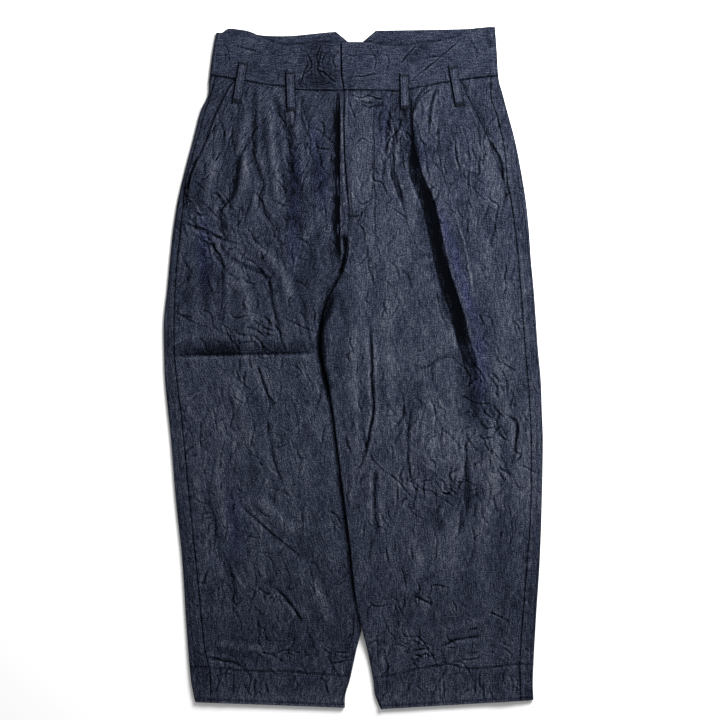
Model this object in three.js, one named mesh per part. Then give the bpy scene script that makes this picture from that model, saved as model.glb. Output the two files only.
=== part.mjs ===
import * as THREE from 'three';

// Denim trousers laid flat on a surface, in millimetres.
// +Y runs from the hems to the waist, +Z is up, and the origin is the middle of the space that they cover.
// Left and right are as seen from above. The right leg lies partly over the left one.

// Cloth and sewing
const CLOTH = 1.2;
const SEAM_GAP = 0.4;
const LAY_GAP = 0.45;
const HEM_DEPTH = 49;
const LOOP = { wide: 11.4, thick: 1.8, arch: 1.4 };

// Heights of the flat stack, front and back together
const LOWEST_STACK = 3.1;
const LOWEST_DOUBLED_STACK = 5.7;
const LOWEST_POCKET_STACK = 4.9;
const FOLD_FADE = 14;
const STACK_SOFTNESS = 1;
const DOUBLED_CHANGE = { before: 14, over: 12 };
const POCKET_CHANGE = { before: 8, foot: 20, over: 12 };
const BAND_FOLDS = { share: 0.45, over: 25 };

// Outer silhouette, a row for each level
const OUTLINE = [
  { y: 488, left: -194.5, right: 202.5 },
  { y: 455, left: -201, right: 205 },
  { y: 412, left: -206.5, right: 208 },
  { y: 390, left: -208, right: 214 },
  { y: 369, left: -218, right: 219.5 },
  { y: 326, left: -229.5, right: 231 },
  { y: 283, left: -241, right: 239.5 },
  { y: 240, left: -251, right: 246.5 },
  { y: 197, left: -258, right: 251 },
  { y: 154, left: -262.5, right: 254 },
  { y: 111, left: -266.5, right: 258 },
  { y: 69, left: -271, right: 261 },
  { y: 26, left: -271, right: 264 },
  { y: -17, left: -269.5, right: 268 },
  { y: -60, left: -265.5, right: 269.5 },
  { y: -103, left: -261, right: 271 },
  { y: -189, left: -254, right: 269.5 },
  { y: -275, left: -245, right: 266.5 },
  { y: -360, left: -239.5, right: 261 },
  { y: -446, left: -232.5, right: 256.5 },
  { y: -480, left: -226, right: 257.5 },
];

// Side seams, where each back leg meets the front after wrapping round the outer edge
const SIDE_SEAM_LEFT = [
  { y: 419, x: -197 },
  { y: 397, x: -202 },
  { y: 369, x: -211.5 },
  { y: 326, x: -223.5 },
  { y: 283, x: -236 },
  { y: 262, x: -240.5 },
  { y: 243, x: -242.8 },
  { y: 225, x: -244.5 },
  { y: 192, x: -248 },
  { y: 116, x: -255 },
  { y: 19, x: -256 },
  { y: -80, x: -245 },
  { y: -200, x: -233.5 },
  { y: -309, x: -222 },
  { y: -400, x: -213 },
  { y: -436, x: -205 },
  { y: -480, x: -204 },
];
const SIDE_SEAM_RIGHT = [
  { y: 419, x: 196.5 },
  { y: 384, x: 197 },
  { y: 364, x: 204 },
  { y: 318, x: 215 },
  { y: 265, x: 220.5 },
  { y: 222, x: 228 },
  { y: 146, x: 236.5 },
  { y: 50, x: 244 },
  { y: -80, x: 253.5 },
  { y: -200, x: 253.5 },
  { y: -332, x: 244 },
  { y: -419, x: 238 },
  { y: -480, x: 239.5 },
];

// Slanted pocket mouths, from the waist seam to the foot on the side seam
const MOUTH_LEFT = [
  { y: 414, x: -167 },
  { y: 401, x: -177 },
  { y: 366, x: -194.5 },
  { y: 327, x: -208.5 },
  { y: 304, x: -218.5 },
  { y: 276, x: -231.5 },
  { y: 243, x: -237 },
];
const MOUTH_RIGHT = [
  { y: 414, x: 150.5 },
  { y: 405, x: 154.5 },
  { y: 368, x: 173 },
  { y: 331, x: 190.5 },
  { y: 300, x: 201.5 },
  { y: 266, x: 215 },
];
const POCKET_FOOT = { left: 226, right: 247 };
const POCKET_FOOT_FADE = 20;
const POCKET_UNDERLAP = 12;
const FACING_RISE = { end: 8.5, over: 6 };
const FACING_FOOT = { above: 8, row: 5 };
const FACING_HIDDEN_COLUMN = 3;

// The line on the front that parts left from right: the fly's edge, the seam below it,
// then the inner edge of the right leg
const PARTING = [
  { y: 488, x: -16.5 },
  { y: 420, x: -16.5 },
  { y: 397, x: -12.5 },
  { y: 346, x: -13 },
  { y: 297, x: -11.5 },
  { y: 247, x: -7.5 },
  { y: 222, x: -5 },
  { y: 203, x: -7 },
  { y: 165, x: -11.5 },
  { y: 142, x: -15 },
  { y: 127, x: -20.5 },
  { y: 103, x: -33.5 },
  { y: 79, x: -42 },
  { y: 50, x: -46 },
  { y: 28, x: -47 },
  { y: 10, x: -44.5 },
  { y: -16, x: -38 },
  { y: -49, x: -31.5 },
  { y: -120, x: -22 },
  { y: -200, x: -12 },
  { y: -254, x: -5 },
  { y: -309, x: 0.5 },
  { y: -345, x: 6 },
  { y: -375, x: 12.5 },
  { y: -403, x: 19.5 },
  { y: -446, x: 28 },
  { y: -468, x: 31 },
  { y: -488, x: 39 },
];
const FLY_FOOT_Y = 222;
const FLY_UNDERLAP = 12;
const FLY_LAP_CHANGE = { below: 4, over: 34 };
const FLY_DROP = { start: 3.5, over: 3, below: 24, foot: 16 };
const BAND_UNDERLAP = 40;
const BAND_END_STEP = 1.5;
const CROTCH_Y = 142;
const CROTCH_CHANGE = { above: 8, over: 24 };
const EDGE_CURL = 3;
const SEAM_DEGREES = 82;
const FLY_BULK = [
  { y: 488, high: 2.6 },
  { y: 385, high: 2.6 },
  { y: 330, high: 1.6 },
  { y: 240, high: 1 },
  { y: 170, high: 0 },
];
const FLY_BULK_FADE = 30;

// How far the left leg runs on under the right one; below the knees the legs part
const LEG_LAP = [
  { y: 150, lap: 0 },
  { y: 142, lap: 1 },
  { y: 134, lap: 6 },
  { y: 120, lap: 14 },
  { y: 103, lap: 22 },
  { y: 90, lap: 29 },
  { y: 60, lap: 45 },
  { y: 28, lap: 60 },
  { y: -20, lap: 60 },
  { y: -75, lap: 52 },
  { y: -160, lap: 40 },
  { y: -254, lap: 28 },
  { y: -309, lap: 15 },
  { y: -345, lap: 3 },
  { y: -375, lap: -1 },
  { y: -403, lap: -14.5 },
  { y: -446, lap: -32.5 },
  { y: -488, lap: -50.5 },
];
const LEG_GAP = 0.7;
const LAP_REACH = 40;
const RISE = { start: 175, full: 140, hold: -372, end: -432 };
// The left leg sinks a little where the right one lies on it
const LAP_SINK = { deep: 2, reach: 11, lap: 2, over: 10 };

// The pleat's deep groove down the right leg, run on to the seam and the hem for the columns that follow it
const PLEAT_LINE = [
  { y: 419, x: 82 },
  { y: 318, x: 85 },
  { y: 279, x: 89 },
  { y: 236, x: 109 },
  { y: 192, x: 118 },
  { y: 126, x: 134 },
  { y: 66, x: 159 },
  { y: 8, x: 174 },
  { y: -150, x: 160 },
  { y: -480, x: 150 },
];
const PLEAT_COLUMNS = [-12, -5, 0, 5, 12];
const FLY_COLUMNS = [0, 1.6, 4];

// The groove beside the fly, and the columns of points round it and beside the left leg's seen edge
const FLY_GROOVE = { x: -22, fromFly: 8 };
const GROOVE_COLUMNS = [3.5, 0, -3.5, -9];
const SEEN_EDGE_COLUMNS = [-1, -5, -10, -16];
const FLAT_PARTS = { left: 11, beforePleat: 6, afterPleat: 5 };

// Centre back seam, on the underside
const CENTRE_BACK = [
  { y: 488, x: 3 },
  { y: 300, x: 3 },
  { y: 200, x: -5 },
  { y: 142, x: -15 },
];

// Levels of the waist seam, and of the two top edges of the band
const WAIST_SEAM = [
  { x: -207, y: 419 },
  { x: -168, y: 413 },
  { x: -121, y: 405 },
  { x: -98, y: 402.5 },
  { x: -76, y: 397.5 },
  { x: 38, y: 397 },
  { x: 65, y: 396 },
  { x: 81, y: 399 },
  { x: 141, y: 410 },
  { x: 205, y: 418 },
];
const FRONT_TOP = [
  { x: -196.5, y: 479 },
  { x: -189.5, y: 484.5 },
  { x: -175, y: 484 },
  { x: -155, y: 480.5 },
  { x: -131, y: 470.5 },
  { x: -115, y: 464 },
  { x: -84, y: 462 },
  { x: -48, y: 464 },
  { x: 15, y: 465.5 },
  { x: 44, y: 461 },
  { x: 66, y: 460.5 },
  { x: 89, y: 462.5 },
  { x: 135, y: 469 },
  { x: 154, y: 475 },
  { x: 167, y: 483.5 },
  { x: 197, y: 487.5 },
];
const BACK_TOP = [
  { x: -196.5, y: 478.5 },
  { x: -189.5, y: 483 },
  { x: -155, y: 479.5 },
  { x: -140, y: 476 },
  { x: -96, y: 475 },
  { x: -62, y: 478 },
  { x: -28, y: 481 },
  { x: 31.5, y: 482.5 },
  { x: 163, y: 485 },
  { x: 197, y: 487.5 },
];
const NOTCH = { x: 3, wide: 59, deep: 24 };
const CENTRE_BACK_SEAM_Y = 399;
const CENTRE_STRIP = 4;

// Bottom edges, each a straight line from the inner corner to the outer one
const HEM_EDGE = {
  left: { innerX: -11.5, innerY: -485.5, outerX: -226.5, outerY: -477.5 },
  right: { innerX: 39, innerY: -487.3, outerX: 257.5, outerY: -474.5 },
};

// Height of the folded outer and inner edges
const EDGE_HEIGHT = [
  { y: 488, high: 6.2 },
  { y: 397, high: 6.1 },
  { y: 330, high: 5.4 },
  { y: 150, high: 5.2 },
  { y: -380, high: 5.2 },
  { y: -425, high: 6 },
  { y: -488, high: 6.2 },
];

// Folds of the front, a row for each: how high it stands or how deep it lies, how far it reaches to the left
// and right of its run where that goes down (below and above it where it goes right), and the run
const FOLDS = [
  // The deep groove beside the fly
  { high: 1.6, left: 14, right: 8, run: [[-30, 396], [-31, 300], [-33, 210], [-32, 165]] },
  { high: -5.6, left: 3.8, right: 3.6, run: [[-22, 396], [-22, 300], [-22, 203], [-20, 160]] },
  { high: 1.4, left: 3, right: 6, run: [[-17, 386], [-15, 300], [-13, 215]] },

  // The deep pleat down the right leg, from the waist seam to the knee
  {
    high: 2.2, left: 26, right: 12,
    run: [[70, 385], [72, 300], [92, 220], [108, 140], [134, 70], [150, 15]],
  },
  {
    high: 2.4, left: 9, right: 34,
    run: [[92, 385], [96, 318], [102, 279], [122, 236], [131, 192], [147, 126], [172, 66], [187, 8]],
  },
  {
    high: -7.4, left: 9, right: 5.5,
    run: [[82, 392], [85, 318], [89, 279], [109, 236], [118, 192], [134, 126], [159, 66], [174, 8]],
  },
  { high: -2, left: 5, right: 4, run: [[121, 404], [112, 378], [108, 340]] },
  { high: -1.6, left: 4, right: 4, run: [[104, 402], [90, 384], [84, 362]] },

  // Beside the fly
  { high: -2, left: 4, right: 7, run: [[52, 372], [48, 340], [46, 300], [42, 268]] },
  { high: -1.6, left: 5, right: 8, run: [[64, 352], [55, 310], [57, 275], [75, 225]] },
  { high: 1.3, left: 7, right: 9, run: [[38, 396], [20, 384], [-2, 388]] },

  // Inner fold of the right leg
  { high: -2.6, left: 7, right: 6, run: [[23, 100], [27, 0], [29, -60], [21, -104], [14, -138]] },
  { high: 1.8, left: 20, right: 12, run: [[2, 60], [0, -10], [4, -80], [2, -130]] },
  { high: -1.8, left: 7, right: 8, run: [[32, -138], [31, -200], [34, -244]] },
  { high: 1.6, left: 16, right: 22, run: [[50, 90], [52, 0], [56, -90]] },

  // Knee and shin of the right leg
  { high: -0.9, left: 5, right: 8, run: [[85, 4], [104, 0], [130, 16], [150, 14]] },
  { high: -1.2, left: 6, right: 5, run: [[84, -46], [79, -103], [81, -150], [99, -174], [124, -183]] },
  { high: 1.6, left: 20, right: 22, run: [[108, -60], [106, -120], [120, -152]] },
  { high: -1.6, left: 6, right: 6, run: [[215, -64], [233, -80], [232, -116], [225, -144]] },
  { high: 1.5, left: 18, right: 14, run: [[196, -60], [204, -120], [198, -190]] },
  { high: -1.4, left: 8, right: 10, run: [[161, -120], [162, -180], [152, -240]] },
  { high: -1.3, left: 6, right: 6, run: [[90, -326], [110, -336]] },
  { high: -1.2, left: 6, right: 6, run: [[124, -396], [148, -387], [184, -382]] },
  { high: 1.5, left: 12, right: 12, run: [[120, -376], [150, -368], [186, -362]] },
  { high: 2.2, left: 9, right: 9, run: [[56, -366], [48, -396], [40, -430]] },
  { high: 1.6, left: 18, right: 16, run: [[96, -260], [88, -300], [70, -330]] },
  { high: 1.8, left: 34, right: 26, run: [[200, -480], [220, -470], [226, -440]] },

  // Pleats of the left front
  {
    high: -2.3, left: 6, right: 5,
    run: [[-116, 398], [-101, 355], [-92, 336], [-89, 293], [-85, 276], [-76, 258]],
  },
  { high: 2.4, left: 10, right: 22, run: [[-100, 392], [-82, 346], [-72, 290], [-64, 240]] },
  {
    high: -2, left: 6, right: 5,
    run: [[-141, 404], [-141, 342], [-141, 300], [-130, 266], [-131, 232], [-110, 202]],
  },
  { high: 2.4, left: 11, right: 12, run: [[-122, 380], [-116, 320], [-110, 270], [-104, 230]] },
  { high: 2.2, left: 13, right: 13, run: [[-152, 372], [-158, 320], [-154, 270], [-160, 236]] },
  { high: -1.6, left: 6, right: 6, run: [[-144, 336], [-162, 297], [-172, 249], [-189, 225], [-178, 180]] },
  { high: 1.6, left: 14, right: 12, run: [[-196, 300], [-206, 260], [-214, 226]] },

  // Thigh of the left leg
  { high: -1.6, left: 6, right: 6, run: [[-238, 206], [-210, 194], [-181, 182]] },
  { high: -1.5, left: 6, right: 6, run: [[-206, 190], [-194, 160], [-182, 140]] },
  { high: -1.4, left: 7, right: 6, run: [[-185, 164], [-161, 149], [-125, 132], [-115, 94], [-100, 34]] },
  { high: 1.9, left: 15, right: 16, run: [[-150, 170], [-130, 168], [-98, 130], [-88, 80]] },
  { high: -1.5, left: 14, right: 10, run: [[-188, 140], [-188, 60]] },
  { high: 1.9, left: 18, right: 15, run: [[-160, 130], [-150, 90], [-146, 60]] },
  { high: 1.5, left: 16, right: 16, run: [[-222, 170], [-224, 110], [-222, 60]] },
  { high: -1.4, left: 6, right: 6, run: [[-72, 100], [-66, 60], [-60, 34]] },

  // Fold across the left knee: a long slope above it and a steep edge below
  { high: -2.3, left: 3, right: 24, run: [[-256, 18], [-150, 19.5], [-52, 22]] },
  { high: 0.9, left: 12, right: 3, run: [[-254, 14], [-150, 14], [-62, 17]] },

  // Shin of the left leg
  { high: -1.7, left: 7, right: 6, run: [[-137, 4], [-124, -34], [-112, -56]] },
  { high: 1.7, left: 18, right: 20, run: [[-170, -20], [-156, -60], [-150, -110]] },
  { high: -1.5, left: 7, right: 7, run: [[-122, -72], [-116, -120], [-104, -160]] },
  { high: -1.2, left: 7, right: 6, run: [[-164, -192], [-128, -227], [-104, -247], [-70, -272]] },
  { high: 1.6, left: 16, right: 14, run: [[-140, -180], [-104, -216], [-76, -240]] },
  { high: 1.5, left: 16, right: 16, run: [[-196, -146], [-190, -190], [-180, -240]] },
  { high: -1.3, left: 12, right: 12, run: [[-190, -260], [-176, -300], [-168, -340]] },
  { high: -1.6, left: 6, right: 6, run: [[-112, -310], [-84, -345], [-70, -364]] },
  { high: 1.6, left: 16, right: 14, run: [[-60, -296], [-46, -330], [-30, -372]] },
  { high: -1.2, left: 6, right: 6, run: [[-206, -414], [-176, -419], [-154, -428]] },
  { high: 1.6, left: 14, right: 12, run: [[-200, -392], [-160, -398], [-120, -402]] },
];
const FOLD_END = { lead: 6, share: 0.3 };

// Loops on the front of the band, a row for each: the middle of its top and of its foot
const LOOPS = [
  { topX: -157, topY: 436, footX: -167, footY: 379 },
  { topX: -90.5, topY: 422.5, footX: -88.5, footY: 367 },
  { topX: 72.5, topY: 419, footX: 73.5, footY: 370 },
  { topX: 142, topY: 430, footX: 152, footY: 374.5 },
];

// Levels of the rows of points of the legs, from the waist seam down, before they bend at both ends
const LEVELS = [
  397, 384, 368, 350, 332, 314, 296, 280, 266, 252, 238, 226, 214, 200, 183, 166, 152, 142, 129, 116, 103, 88,
  70, 52, 38, 28, 22, 18, 12, 0, -20, -44, -70, -98, -126, -154, -180, -206, -234, -262, -292, -320, -345,
  -366, -384, -402, -418, -431, -434, -458, -480,
];
const WAIST_LEVEL = 397;
const HEM_LEVEL = -480;
const WAIST_BEND_REACH = 110;
const HEM_BEND_REACH = 90;
const HEM_BEND = { from: -0.2, to: 1.1 };
const SLOPE_STEP = 0.5;
const FOLD_DEGREES = [0, 45, 90, 135, 180];
const BAND_SHARES = [0, 0.25, 0.5, 0.75, 1];
const LOOP_SHARES = [0, 1, 2, 3, 4, 5, 6, 7].map((step) => step / 7);

const mix = (a, b, share) => a + (b - a) * share;

// A smooth step from 0 to 1
function ease(share) {
  const s = Math.min(1, Math.max(0, share));
  return s * s * (3 - 2 * s);
}

// Reads a column of a table smoothly at any place along its key
function reader(rows, key, column) {
  const sorted = [...rows].sort((a, b) => a[key] - b[key]);
  const at = sorted.map((row) => row[key]);
  const value = sorted.map((row) => row[column]);
  const last = at.length - 1;
  const slope = at.map((_, i) => {
    const before = Math.max(0, i - 1);
    const after = Math.min(last, i + 1);
    return (value[after] - value[before]) / (at[after] - at[before]);
  });
  return (place) => {
    if (place <= at[0]) return value[0];
    if (place >= at[last]) return value[last];
    const i = at.findIndex((next, k) => k > 0 && place <= next) - 1;
    const span = at[i + 1] - at[i];
    const s = (place - at[i]) / span;
    const rise = value[i + 1] - value[i];
    const bend = s * (1 - s);
    const start = (slope[i] * span - rise) * (1 - s);
    const end = (slope[i + 1] * span - rise) * s;
    return value[i] + rise * s + bend * (start - end);
  };
}

const outline = { left: reader(OUTLINE, 'y', 'left'), right: reader(OUTLINE, 'y', 'right') };
const sideSeam = { left: reader(SIDE_SEAM_LEFT, 'y', 'x'), right: reader(SIDE_SEAM_RIGHT, 'y', 'x') };
const mouth = { left: reader(MOUTH_LEFT, 'y', 'x'), right: reader(MOUTH_RIGHT, 'y', 'x') };
const parting = reader(PARTING, 'y', 'x');
const legLap = reader(LEG_LAP, 'y', 'lap');
const flyBulk = reader(FLY_BULK, 'y', 'high');
const centreBack = reader(CENTRE_BACK, 'y', 'x');
const waistSeam = reader(WAIST_SEAM, 'x', 'y');
const frontTop = reader(FRONT_TOP, 'x', 'y');
const backTopPlain = reader(BACK_TOP, 'x', 'y');
const edgeHeight = reader(EDGE_HEIGHT, 'y', 'high');
const pleatLine = reader(PLEAT_LINE, 'y', 'x');

const sign = { left: -1, right: 1 };

function backTop(x) {
  const notch = Math.max(0, 1 - Math.abs(x - NOTCH.x) / (NOTCH.wide / 2));
  return backTopPlain(x) - NOTCH.deep * notch;
}

// 0 above the crotch, 1 where the legs are two tubes
const legShare = (y) => ease((CROTCH_Y + CROTCH_CHANGE.above - y) / CROTCH_CHANGE.over);

// Inner edge of each leg; the left one is hidden under the right as far as the lap goes
const innerEdge = {
  left: (y) => parting(y) - LEG_GAP + legLap(y),
  right: (y) => parting(y),
};

// Where the left leg stops showing: at the right leg's edge, or at its own inner edge
const seenEdge = (y) => Math.min(parting(y), innerEdge.left(y) - EDGE_CURL);

// Height that one fold adds at a place
function foldHeight(fold, x, y) {
  let nearest = Infinity;
  let side = 0;
  let reached = 0;
  let travelled = 0;
  for (let i = 1; i < fold.run.length; i += 1) {
    const [ax, ay] = fold.run[i - 1];
    const [bx, by] = fold.run[i];
    const dx = bx - ax;
    const dy = by - ay;
    const length = Math.hypot(dx, dy);
    const along = ((x - ax) * dx + (y - ay) * dy) / length;
    const held = Math.min(length, Math.max(0, along));
    const away = Math.hypot(x - ax - (dx * held) / length, y - ay - (dy * held) / length);
    if (away < nearest) {
      nearest = away;
      side = dx * (y - ay) - dy * (x - ax);
      reached = travelled + held;
    }
    travelled += length;
  }
  const reach = side > 0 ? fold.right : fold.left;
  if (nearest >= reach) return 0;
  const fromEnd = Math.min(reached, travelled - reached);
  const taper = ease((fromEnd + FOLD_END.lead) / (FOLD_END.share * travelled));
  return fold.high * taper * 0.5 * (1 + Math.cos((Math.PI * nearest) / reach));
}

// Folds die out at folded edges, and are weak on the stiff band
function foldShare(half, x, y) {
  const outer = ease(Math.abs(x - outline[half](y)) / FOLD_FADE);
  const fromInner = half === 'left' ? seenEdge(y) - x : x - parting(y);
  const inner = mix(1, ease(fromInner / FOLD_FADE), legShare(y));
  const band = mix(1, BAND_FOLDS.share, ease((y - waistSeam(x)) / BAND_FOLDS.over));
  return outer * inner * band;
}

// Least stack that the layers at a place need
function lowestStack(half, x, y) {
  const { before, over } = DOUBLED_CHANGE;
  const hem = ease((HEM_LEVEL + HEM_DEPTH + before - y) / over);
  const band = ease((y - waistSeam(x) + before) / over);
  const doubled = mix(LOWEST_STACK, LOWEST_DOUBLED_STACK, Math.max(hem, band));
  const intoPocket = sign[half] * (x - mouth[half](y)) + POCKET_UNDERLAP + POCKET_CHANGE.before;
  const aboveFoot = y - POCKET_FOOT[half] + POCKET_CHANGE.foot;
  const pocket = ease(intoPocket / POCKET_CHANGE.before) * ease(aboveFoot / POCKET_CHANGE.over);
  return Math.max(doubled, mix(LOWEST_STACK, LOWEST_POCKET_STACK, pocket));
}

// How far the left leg's front sinks under the right leg
function lapSink(half, x, y) {
  if (half === 'right') return 0;
  const lapped = ease((legLap(y) - LAP_SINK.lap) / LAP_SINK.over) * legShare(y);
  return LAP_SINK.deep * lapped * ease((x - seenEdge(y) + LAP_SINK.reach) / LAP_SINK.reach);
}

// A height that never comes down to the lowest one, and nears it softly
function heldAbove(lowest, height) {
  const over = (height - lowest - STACK_SOFTNESS) / STACK_SOFTNESS;
  return over > 0 ? height : lowest + STACK_SOFTNESS * Math.exp(over);
}

// What the back lies on: the table, or for the right leg the left leg's stack
function support(half, x, y) {
  if (half === 'left') return 0;
  const start = ease((RISE.start - y) / (RISE.start - RISE.full));
  const end = ease((y - RISE.end) / (RISE.hold - RISE.end));
  const across = ease((innerEdge.left(y) + LAP_REACH - x) / LAP_REACH);
  const lapped = heldAbove(lowestStack('left', x, y), edgeHeight(y) - lapSink('left', x, y));
  return (lapped + LAY_GAP) * start * end * across;
}

// Height of the outer face of the front
function frontHeight(half, x, y) {
  const relief = FOLDS.reduce((sum, fold) => sum + foldHeight(fold, x, y), 0);
  const fromFly = ease((x - parting(y) + FLY_BULK_FADE) / FLY_BULK_FADE);
  const pastFly = ease((parting(y) + BAND_UNDERLAP + FLY_BULK_FADE - x) / FLY_BULK_FADE);
  const bulk = flyBulk(y) * fromFly * pastFly;
  const wanted = edgeHeight(y) + bulk + relief * foldShare(half, x, y) - lapSink(half, x, y);
  return support(half, x, y) + heldAbove(lowestStack(half, x, y), wanted);
}

// A place on the cloth: its outer point, and its inner point one wall further in
function place(outer, normal, thick) {
  const inner = outer.clone().addScaledVector(normal.normalize(), -thick);
  return { outer, inner };
}

// A place on the front, pushed down where it lies under another piece
function onFront(half, x, y, thick, drop = () => 0, square = false) {
  const step = SLOPE_STEP;
  const height = (px, py) => frontHeight(half, px, py) - drop(px, py);
  const slopeX = (height(x + step, y) - height(x - step, y)) / (2 * step);
  const slopeY = square ? 0 : (height(x, y + step) - height(x, y - step)) / (2 * step);
  return place(new THREE.Vector3(x, y, height(x, y)), new THREE.Vector3(-slopeX, -slopeY, 1), thick);
}

// A place on the back's underside
function onBack(half, x, y, thick) {
  const step = SLOPE_STEP;
  const slopeX = (support(half, x + step, y) - support(half, x - step, y)) / (2 * step);
  return place(new THREE.Vector3(x, y, support(half, x, y)), new THREE.Vector3(slopeX, 0, -1), thick);
}

// A place on the fold round the outer edge; 0 is its top and 180 its underside
function onOuterFold(half, y, degrees, thick) {
  const angle = THREE.MathUtils.degToRad(degrees);
  const radius = edgeHeight(y) / 2;
  const normal = new THREE.Vector3(sign[half] * Math.sin(angle), 0, Math.cos(angle));
  const centre = new THREE.Vector3(outline[half](y) - sign[half] * radius, y, radius);
  return place(centre.addScaledVector(normal, radius), normal, thick);
}

// Radius of the fold of a leg's inner edge
function innerRadius(half, y) {
  const x = innerEdge[half](y);
  return heldAbove(lowestStack(half, x, y), edgeHeight(y) - lapSink(half, x, y)) / 2;
}

// A place on the fold of a leg's inner edge. A share of 1 is on the flat, 0 at the seam.
// Above the crotch the fold opens out flat.
function onInnerFold(half, flatX, y, share, upper, thick) {
  const angle = (1 - share) * THREE.MathUtils.degToRad(SEAM_DEGREES);
  const radius = innerRadius(half, y);
  const curl = legShare(y);
  const inwards = -sign[half];
  const foldedX = innerEdge[half](y) - inwards * radius * (1 - Math.sin(angle));
  const x = mix(flatX, foldedX, curl);
  const drop = curl * radius * (1 - Math.cos(angle));
  const flat = upper ? frontHeight(half, x, y) : support(half, x, y);
  const up = upper ? 1 : -1;
  const normal = new THREE.Vector3(inwards * Math.sin(angle) * curl, 0, up * mix(1, Math.cos(angle), curl));
  return place(new THREE.Vector3(x, y, flat - up * drop), normal, thick);
}

// A closed wall from a grid of places
function wall(name, grid) {
  const rows = grid.length;
  const columns = grid[0].length;
  const positions = [];
  for (const face of ['outer', 'inner']) {
    for (const row of grid) {
      for (const spot of row) positions.push(spot[face].x, spot[face].y, spot[face].z);
    }
  }
  const index = [];
  const quad = (a, b, c, d) => index.push(a, b, c, a, c, d);
  const outer = (i, j) => i * columns + j;
  const inner = (i, j) => rows * columns + i * columns + j;
  for (let i = 0; i + 1 < rows; i += 1) {
    for (let j = 0; j + 1 < columns; j += 1) {
      quad(outer(i, j), outer(i + 1, j), outer(i + 1, j + 1), outer(i, j + 1));
      quad(inner(i, j), inner(i, j + 1), inner(i + 1, j + 1), inner(i + 1, j));
    }
  }
  for (let i = 0; i + 1 < rows; i += 1) {
    quad(outer(i, 0), inner(i, 0), inner(i + 1, 0), outer(i + 1, 0));
    quad(outer(i + 1, columns - 1), inner(i + 1, columns - 1), inner(i, columns - 1), outer(i, columns - 1));
  }
  for (let j = 0; j + 1 < columns; j += 1) {
    quad(outer(0, j + 1), inner(0, j + 1), inner(0, j), outer(0, j));
    quad(outer(rows - 1, j), inner(rows - 1, j), inner(rows - 1, j + 1), outer(rows - 1, j + 1));
  }
  if (volumeOf(positions, index) < 0) index.reverse();
  const geometry = new THREE.BufferGeometry();
  geometry.setAttribute('position', new THREE.Float32BufferAttribute(positions, 3));
  geometry.setIndex(index);
  const mesh = new THREE.Mesh(geometry, denim(name));
  mesh.name = name;
  return mesh;
}

function volumeOf(positions, index) {
  const corner = (k) => new THREE.Vector3().fromArray(positions, index[k] * 3);
  let sum = 0;
  for (let k = 0; k < index.length; k += 3) sum += corner(k).dot(corner(k + 1).cross(corner(k + 2)));
  return sum / 6;
}

// Washed indigo denim; the band and the loops are a little lighter than the legs
function denim(name) {
  const doubled = name.startsWith('waistband') || name.startsWith('belt');
  const color = doubled ? 0x3e4558 : 0x383f52;
  return new THREE.MeshStandardMaterial({ color, roughness: 0.92, metalness: 0 });
}

// Where the outer fold starts at the waist seam, on top and underneath
function waistCorner(half) {
  const y = waistSeam(outline[half](WAIST_LEVEL));
  return { x: outline[half](y) - (sign[half] * edgeHeight(y)) / 2, y };
}

// The waist seam on the underside, straight from the outer fold to the centre back
function underSeam(half, x) {
  const corner = waistCorner(half);
  return mix(CENTRE_BACK_SEAM_Y, corner.y, (x - NOTCH.x) / (corner.x - NOTCH.x));
}

// The level of a point in a row, bent to the waist seam at the top and to the hem's edge at the bottom
function bentLevel(half, x, level, seam = waistSeam) {
  const edge = HEM_EDGE[half];
  const along = (x - edge.innerX) / (edge.outerX - edge.innerX);
  const hemY = mix(edge.innerY, edge.outerY, Math.min(HEM_BEND.to, Math.max(HEM_BEND.from, along)));
  const atWaist = ease((level - WAIST_LEVEL + WAIST_BEND_REACH) / WAIST_BEND_REACH);
  const atHem = ease((HEM_LEVEL + HEM_BEND_REACH - level) / HEM_BEND_REACH);
  return level + (seam(x) - SEAM_GAP / 2 - WAIST_LEVEL) * atWaist + (hemY - HEM_LEVEL) * atHem;
}

// The hem is turned up, so the wall is doubled there
const legWall = (level) => (level < HEM_LEVEL + HEM_DEPTH ? 2 * CLOTH : CLOTH);

// Outer edge of the front: the pocket's mouth, then the side seam
function frontEdge(half, y) {
  const seam = sideSeam[half](y) - sign[half] * SEAM_GAP;
  const towardsMouth = ease((y - POCKET_FOOT[half]) / POCKET_FOOT_FADE);
  return mix(seam, mouth[half](y), towardsMouth);
}

// How far the left side lies below the right one where it runs on under the fly and the band's end
function flyDrop(layers) {
  return (x, y) => {
    const across = ease((x - parting(y) + FLY_DROP.start) / FLY_DROP.over);
    const down = ease((y - FLY_FOOT_Y + FLY_DROP.below) / FLY_DROP.foot);
    return (layers * CLOTH + LAY_GAP) * across * down;
  };
}

// Across the left front: its end under the fly, or its inner fold, then the groove beside the fly
function leftFrontStart(y) {
  const legs = legShare(y);
  const underFly = ease((y - FLY_FOOT_Y + FLY_LAP_CHANGE.below) / FLY_LAP_CHANGE.over);
  const lap = mix(-SEAM_GAP, FLY_UNDERLAP, underFly);
  const line = parting(y);
  const groove = Math.min(FLY_GROOVE.x, line - FLY_GROOVE.fromFly);
  const seen = seenEdge(y);
  return {
    fold: [line + lap, line + Math.min(lap, 3), line - 0.6],
    flat: GROOVE_COLUMNS.map((off, i) => mix(groove + off, seen + SEEN_EDGE_COLUMNS[i], legs)),
  };
}

// Across the right front: the fly or the inner fold, then close together at the pleat's groove
function rightFrontStart(y) {
  const line = parting(y);
  const fold = FLY_COLUMNS.map((off) => line + off);
  const groove = PLEAT_COLUMNS.map((off) => pleatLine(y) + off);
  return { fold, flat: [...spread(fold[2], groove[0], FLAT_PARTS.beforePleat), ...groove.slice(1)] };
}

function spread(from, to, parts) {
  return Array.from({ length: parts }, (_, i) => mix(from, to, (i + 1) / parts));
}

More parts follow.
